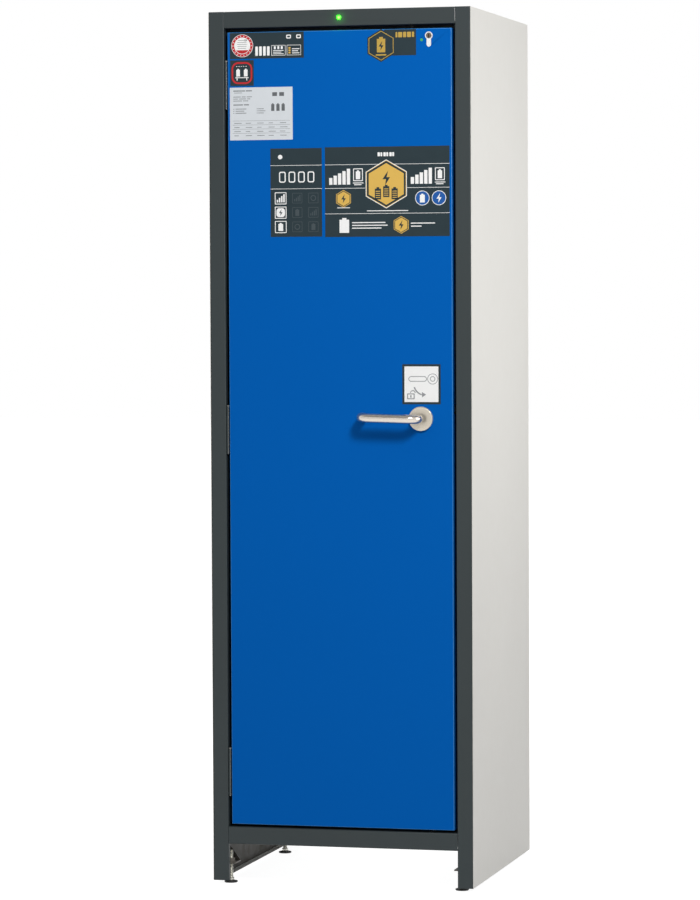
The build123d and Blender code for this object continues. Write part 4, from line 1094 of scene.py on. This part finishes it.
# Large panel, left half: three bands of marks, with a grid of nine icons of which the
# first column is printed white and the others faint.
left_panel = (-158.1, 1451.6)
left_width = 118.2
left_top = 196.3
layer_of("left_panel", left_panel, [bar(0, 0, left_width, left_top)], 0, dark_ink)
left_marks = [bar(0, left_top - drop, left_width, 0.9) for drop in (38.4, 90.2)]
left_marks.append(disc(22.6, left_top - 19, 5))
for number in range(4):
    left_marks += frame_of(19.8 + 21.9 * number, left_top - 76, 15.4, 24.4, 2.5, 4.4, 2.6)
grid = 31.8
icon = 26.8
for row in range(3):
    x = 9.8
    z = 8.6 + grid * row
    left_marks += frame_of(x, z, icon, icon, 1.7, 1.2, 0.8)
    if row == 0:
        left_marks.append(cell(x + icon / 2, z + 4.6, 11, 17.6))
    if row == 1:
        left_marks.append(rounded(x + 3.6, z + 3.6, icon - 7.2, icon - 7.2, 6))
        left_marks.append(bolt(x + icon / 2, z + 6, 15))
    if row == 2:
        left_marks += [bar(x + 4.4 + 5 * i, z + 4.4, 3.4, 6 + 4 * i) for i in range(4)]
layer_of("left_panel_marks", left_panel, left_marks, 1, white_ink)
faded_marks = []
for row in range(3):
    for column, x in enumerate((49.9, 86.9)):
        z = 10.6 + grid * row
        faded_marks += frame_of(x, z, 23, 23, 1.1, 1.6, 1)
        kind = (row + column) % 3
        if kind == 0:
            faded_marks += [disc(x + 11.5, z + 11.5, 6.4), disc(x + 11.5, z + 11.5, 4.6)]
        if kind == 1:
            faded_marks.append(cell(x + 11.5, z + 4, 9, 15))
        if kind == 2:
            faded_marks += [bar(x + 4.6 + 4 * i, z + 4.4, 2.2, 5 + 3 * i) for i in range(4)]
layer_of("left_panel_faded", left_panel, faded_marks, 1, faded_ink)

# Large panel, right half: a band with a short mark, level bars either side of an amber
# hexagon, two blue discs and two smaller hexagons over rows of fine bars.
right_panel = (-32.7, 1450.5)
right_width = 283.2
right_top = 198.5
layer_of("right_panel", right_panel, [bar(0, 0, right_width, right_top)], 0, dark_ink)
emblem_x = 139.8
emblem_z = right_top - 82.5
emblem = 54.0
right_marks = [
    bar(0, right_top - 39.4, right_width, 0.9), bar(0, right_top - 91.6, 92, 0.9),
    bar(187.6, right_top - 91.6, 95.6, 0.9), bar(0, right_top - 147.8, right_width, 0.9),
    bar(28, right_top - 135, 29, 1.6), bar(95.4, right_top - 142.4, 94, 1.8),
]
for number, width in enumerate((5.6, 4.2, 5.6, 4.2, 5.6, 4.2)):
    right_marks.append(rounded(emblem_x - 19.6 + 6.7 * number, right_top - 21.6, width, 9, 1.4))
for start in (9.5, 195.4):
    for step in range(5):
        right_marks.append(bar(start + 10.1 * step, right_top - 83, 7.6, 15 + 5 * step))
    box = start + 55
    right_marks += frame_of(box, right_top - 75.6, 22, 28, 1.8, 1.2, 0.8)
    right_marks += [
        cell(box + 11, right_top - 71.4, 10, 19.6), bar(box - 0.6, right_top - 80.6, 24, 1.8),
        bar(box + 2, right_top - 84.4, 17, 1.8),
    ]
for row, width in enumerate((76, 81, 67)):
    right_marks.append(bar(61.5, right_top - 168.4 - 6.1 * row, width, 2.2))
for row, width in enumerate((55, 24)):
    right_marks.append(bar(195.4, right_top - 170.6 - 6.6 * row, width, 2.2))
right_marks.append(cell(43.8, right_top - 189.6, 22, 33))
layer_of("right_panel_marks", right_panel, right_marks, 1, white_ink)
emblem_face = hexagon_of(emblem_x, emblem_z, emblem - 1.6)
emblem_edge = [hexagon_of(emblem_x, emblem_z, emblem), emblem_face]
layer_of("emblem_border", right_panel, emblem_edge, 2, white_ink)
small_radius = 19.5
small_signs = ((42.2, right_top - 114.2), (173.4, right_top - 173.0))
ambers = [emblem_face] + [hexagon_of(x, z, small_radius) for x, z in small_signs]
layer_of("amber_hexagons", right_panel, ambers, 2, amber_ink)
hexagon_lines = [
    hexagon_of(emblem_x, emblem_z, emblem - 3), hexagon_of(emblem_x, emblem_z, emblem - 8),
    bolt(emblem_x, emblem_z - 3, 32),
]
stands = [(emblem_x + 19 * i, emblem_z - 34 + 5 * (i == 0)) for i in (-1, 0, 1)]
hexagon_lines += [cell(x, z, 14, 27) for x, z in stands]
for x, z in stands:
    hexagon_lines += [bar(x - 5, z + 3.4 + 4.6 * row, 10, 1.6) for row in range(4)]
for x, z in small_signs:
    hexagon_lines += [hexagon_of(x, z, small_radius - 1.6), hexagon_of(x, z, small_radius - 3.4)]
    hexagon_lines.append(bolt(x, z - 10, 20))
layer_of("hexagon_line", right_panel, hexagon_lines, 3, dark_ink)
disc_x = (221.5, 259.1)
disc_z = right_top - 114.4
layer_of("blue_disc_rims", right_panel, [disc(x, disc_z, 16.2) for x in disc_x], 1, white_ink)
layer_of("blue_discs", right_panel, [disc(x, disc_z, 14.8) for x in disc_x], 2, blue_ink)
disc_drawings = [cell(disc_x[0], right_top - 124, 11, 19), bolt(disc_x[1], right_top - 125, 21)]
layer_of("blue_disc_cells", right_panel, disc_drawings, 3, white_ink)

# Mark at the top right: a dark hexagon with an amber line and cell, joined to a dark
# strip with a row of amber bars.
corner_mark = (96.6, 1871.0)
layer_of("corner_mark", corner_mark, [hexagon_of(0, 0, 36)], 0, dark_ink)
layer_of("corner_strip", corner_mark, [bar(7.4, -22.4, 71.8, 57.3)], 0, dark_ink, film + ink / 2)
corner_amber = [
    hexagon_of(0, 0, 32.6), hexagon_of(0, 0, 31), cell(0, -15, 19, 34), bolt(0, -11, 21),
    bar(-12, -22, 24, 3),
]
layer_of("corner_amber", corner_mark, corner_amber, 2, dull_amber_ink)
corner_bars = []
start = 33
for width in (4, 9, 7, 9, 5):
    corner_bars.append(rounded(start, 17.4, width, 11.6, 1.2))
    start += width + 2
layer_of("corner_bars", corner_mark, corner_bars, 2, dull_amber_ink)


# Floor: a plain pale sweep under the cabinet, which keeps its soft shadow.
bpy.ops.mesh.primitive_plane_add(size=60.0, location=(0, 0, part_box("foot_pad_front_left")[0].z))
floor = named("studio_floor")
floor_paint = bpy.data.materials.new("pale_floor")
floor_paint.use_nodes = True
floor_tree = floor_paint.node_tree
floor_tree.nodes.clear()
floor_noise = put(
    floor_tree, "ShaderNodeTexNoise",
    {"Vector": put(floor_tree, "ShaderNodeTexCoord").outputs["Object"], "Scale": 1.2},
)
floor_tint = put(
    floor_tree, "ShaderNodeMix",
    {0: floor_noise.outputs[0], 6: (0.29, 0.29, 0.29, 1.0), 7: (0.31, 0.31, 0.31, 1.0)},
    data_type="RGBA",
)
floor_diffuse = put(floor_tree, "ShaderNodeBsdfDiffuse", {"Color": floor_tint.outputs[2]})
floor_seen = put(floor_tree, "ShaderNodeLightPath").outputs
floor_direct = reckon(
    floor_tree, "MAXIMUM", floor_seen["Is Camera Ray"], floor_seen["Is Glossy Ray"]
)
floor_lift = reckon(floor_tree, "MULTIPLY", floor_direct, 0.93)
floor_glow = put(floor_tree, "ShaderNodeEmission", {"Strength": floor_lift})
floor_sum = put(
    floor_tree, "ShaderNodeAddShader", {0: floor_diffuse.outputs[0], 1: floor_glow.outputs[0]}
)
put(floor_tree, "ShaderNodeOutputMaterial", {"Surface": floor_sum.outputs[0]})
floor.data.materials.append(floor_paint)


# Studio light: a soft lamp high on the right in front, a second one to the right of the
# cabinet, a third behind it, and a pale surround that is brightest on the left.
world = bpy.data.worlds.new("studio")
bpy.context.scene.world = world
world.use_nodes = True
world_tree = world.node_tree
world_tree.nodes.clear()
seen = put(world_tree, "ShaderNodeLightPath").outputs
straight = reckon(world_tree, "MAXIMUM", seen["Is Camera Ray"], seen["Is Glossy Ray"])
backdrop_rays = reckon(world_tree, "MAXIMUM", straight, seen["Is Transmission Ray"])
facing = put(
    world_tree, "ShaderNodeSeparateXYZ",
    {0: put(world_tree, "ShaderNodeTexCoord").outputs["Generated"]},
).outputs


def ramp(direction, start, end, low, high, **options):
    """A strength that goes from low to high along one direction of the room."""
    ends = {"From Min": start, "From Max": end, "To Min": low, "To Max": high}
    ends["Value"] = facing[direction]
    return put(world_tree, "ShaderNodeMapRange", ends, **options).outputs[0]


fill_light = ramp("X", -0.1, 0.9, 0.68, 0.08)
surround = put(world_tree, "ShaderNodeBackground", {"Color": (1, 1, 1, 1), "Strength": fill_light})
room = ramp("Y", -0.9, -0.2, 0.3, 1.0, interpolation_type="SMOOTHSTEP")
dimmed = reckon(world_tree, "MULTIPLY", room, ramp("Z", 0.35, 0.8, 1.0, 0.4))
panel_across = reckon(
    world_tree, "MULTIPLY", ramp("Z", 0.06, 0.14, 0.0, 1.4), ramp("Z", 0.26, 0.36, 1.0, 0.0)
)
panel_front = ramp("Y", -0.8, -0.5, 1.0, 0.0)
light_panel = reckon(world_tree, "MULTIPLY_ADD", panel_across, panel_front, dimmed)
room_strength = put(world_tree, "ShaderNodeMix", {0: seen["Is Camera Ray"], 2: light_panel, 3: 1.0})
backdrop = put(
    world_tree, "ShaderNodeBackground",
    {"Color": (1, 1, 1, 1), "Strength": room_strength.outputs[0]},
)
world_mix = put(
    world_tree, "ShaderNodeMixShader",
    {0: backdrop_rays, 1: surround.outputs[0], 2: backdrop.outputs[0]},
)
put(world_tree, "ShaderNodeOutputWorld", {"Surface": world_mix.outputs[0]})


def soft_lamp(name, place, target, size, power):
    """A square area lamp at a place, turned to face a target."""
    bpy.ops.object.light_add(type="AREA", location=place)
    lamp = bpy.context.object
    lamp.name = name
    lamp.data.size = size
    lamp.data.energy = power
    lamp.visible_camera = False
    lamp.rotation_euler = (Vector(target) - Vector(place)).to_track_quat("-Z", "Y").to_euler()
    return lamp


soft_lamp("key_lamp", (1.92, -3.33, 3.35), (0.12, -0.28, 1.05), 0.75, 109)
soft_lamp("side_lamp", (1.8, 0.0, 1.5), (0.3, 0.1, 1.4), 0.9, 13)
soft_lamp("back_lamp", (-2.2, 3.4, 2.9), (0.0, 0.3, 1.0), 1.2, 70)


# Camera: level with the lower chest, a little to the right, at the photograph's angle.
turn = math.radians(14.384)
rise = math.radians(2.371)
roll = math.radians(-0.267)
backward = Vector(
    (math.sin(turn) * math.cos(rise), -math.cos(turn) * math.cos(rise), math.sin(rise))
)
sideways = (-backward).cross(Vector((0, 0, 1))).normalized()
upward = sideways.cross(-backward)
camera_data = bpy.data.cameras.new("camera")
camera_data.lens = 152.13
camera_data.sensor_width = 36.0
camera = bpy.data.objects.new("camera", camera_data)
bpy.context.scene.collection.objects.link(camera)
axis_x = sideways * math.cos(roll) + upward * math.sin(roll)
axis_y = -sideways * math.sin(roll) + upward * math.cos(roll)
placing = Matrix((axis_x, axis_y, backward)).transposed().to_4x4()
placing.translation = Vector((2.1168, -8.4453, 1.3273))
camera.matrix_world = placing
bpy.context.scene.camera = camera
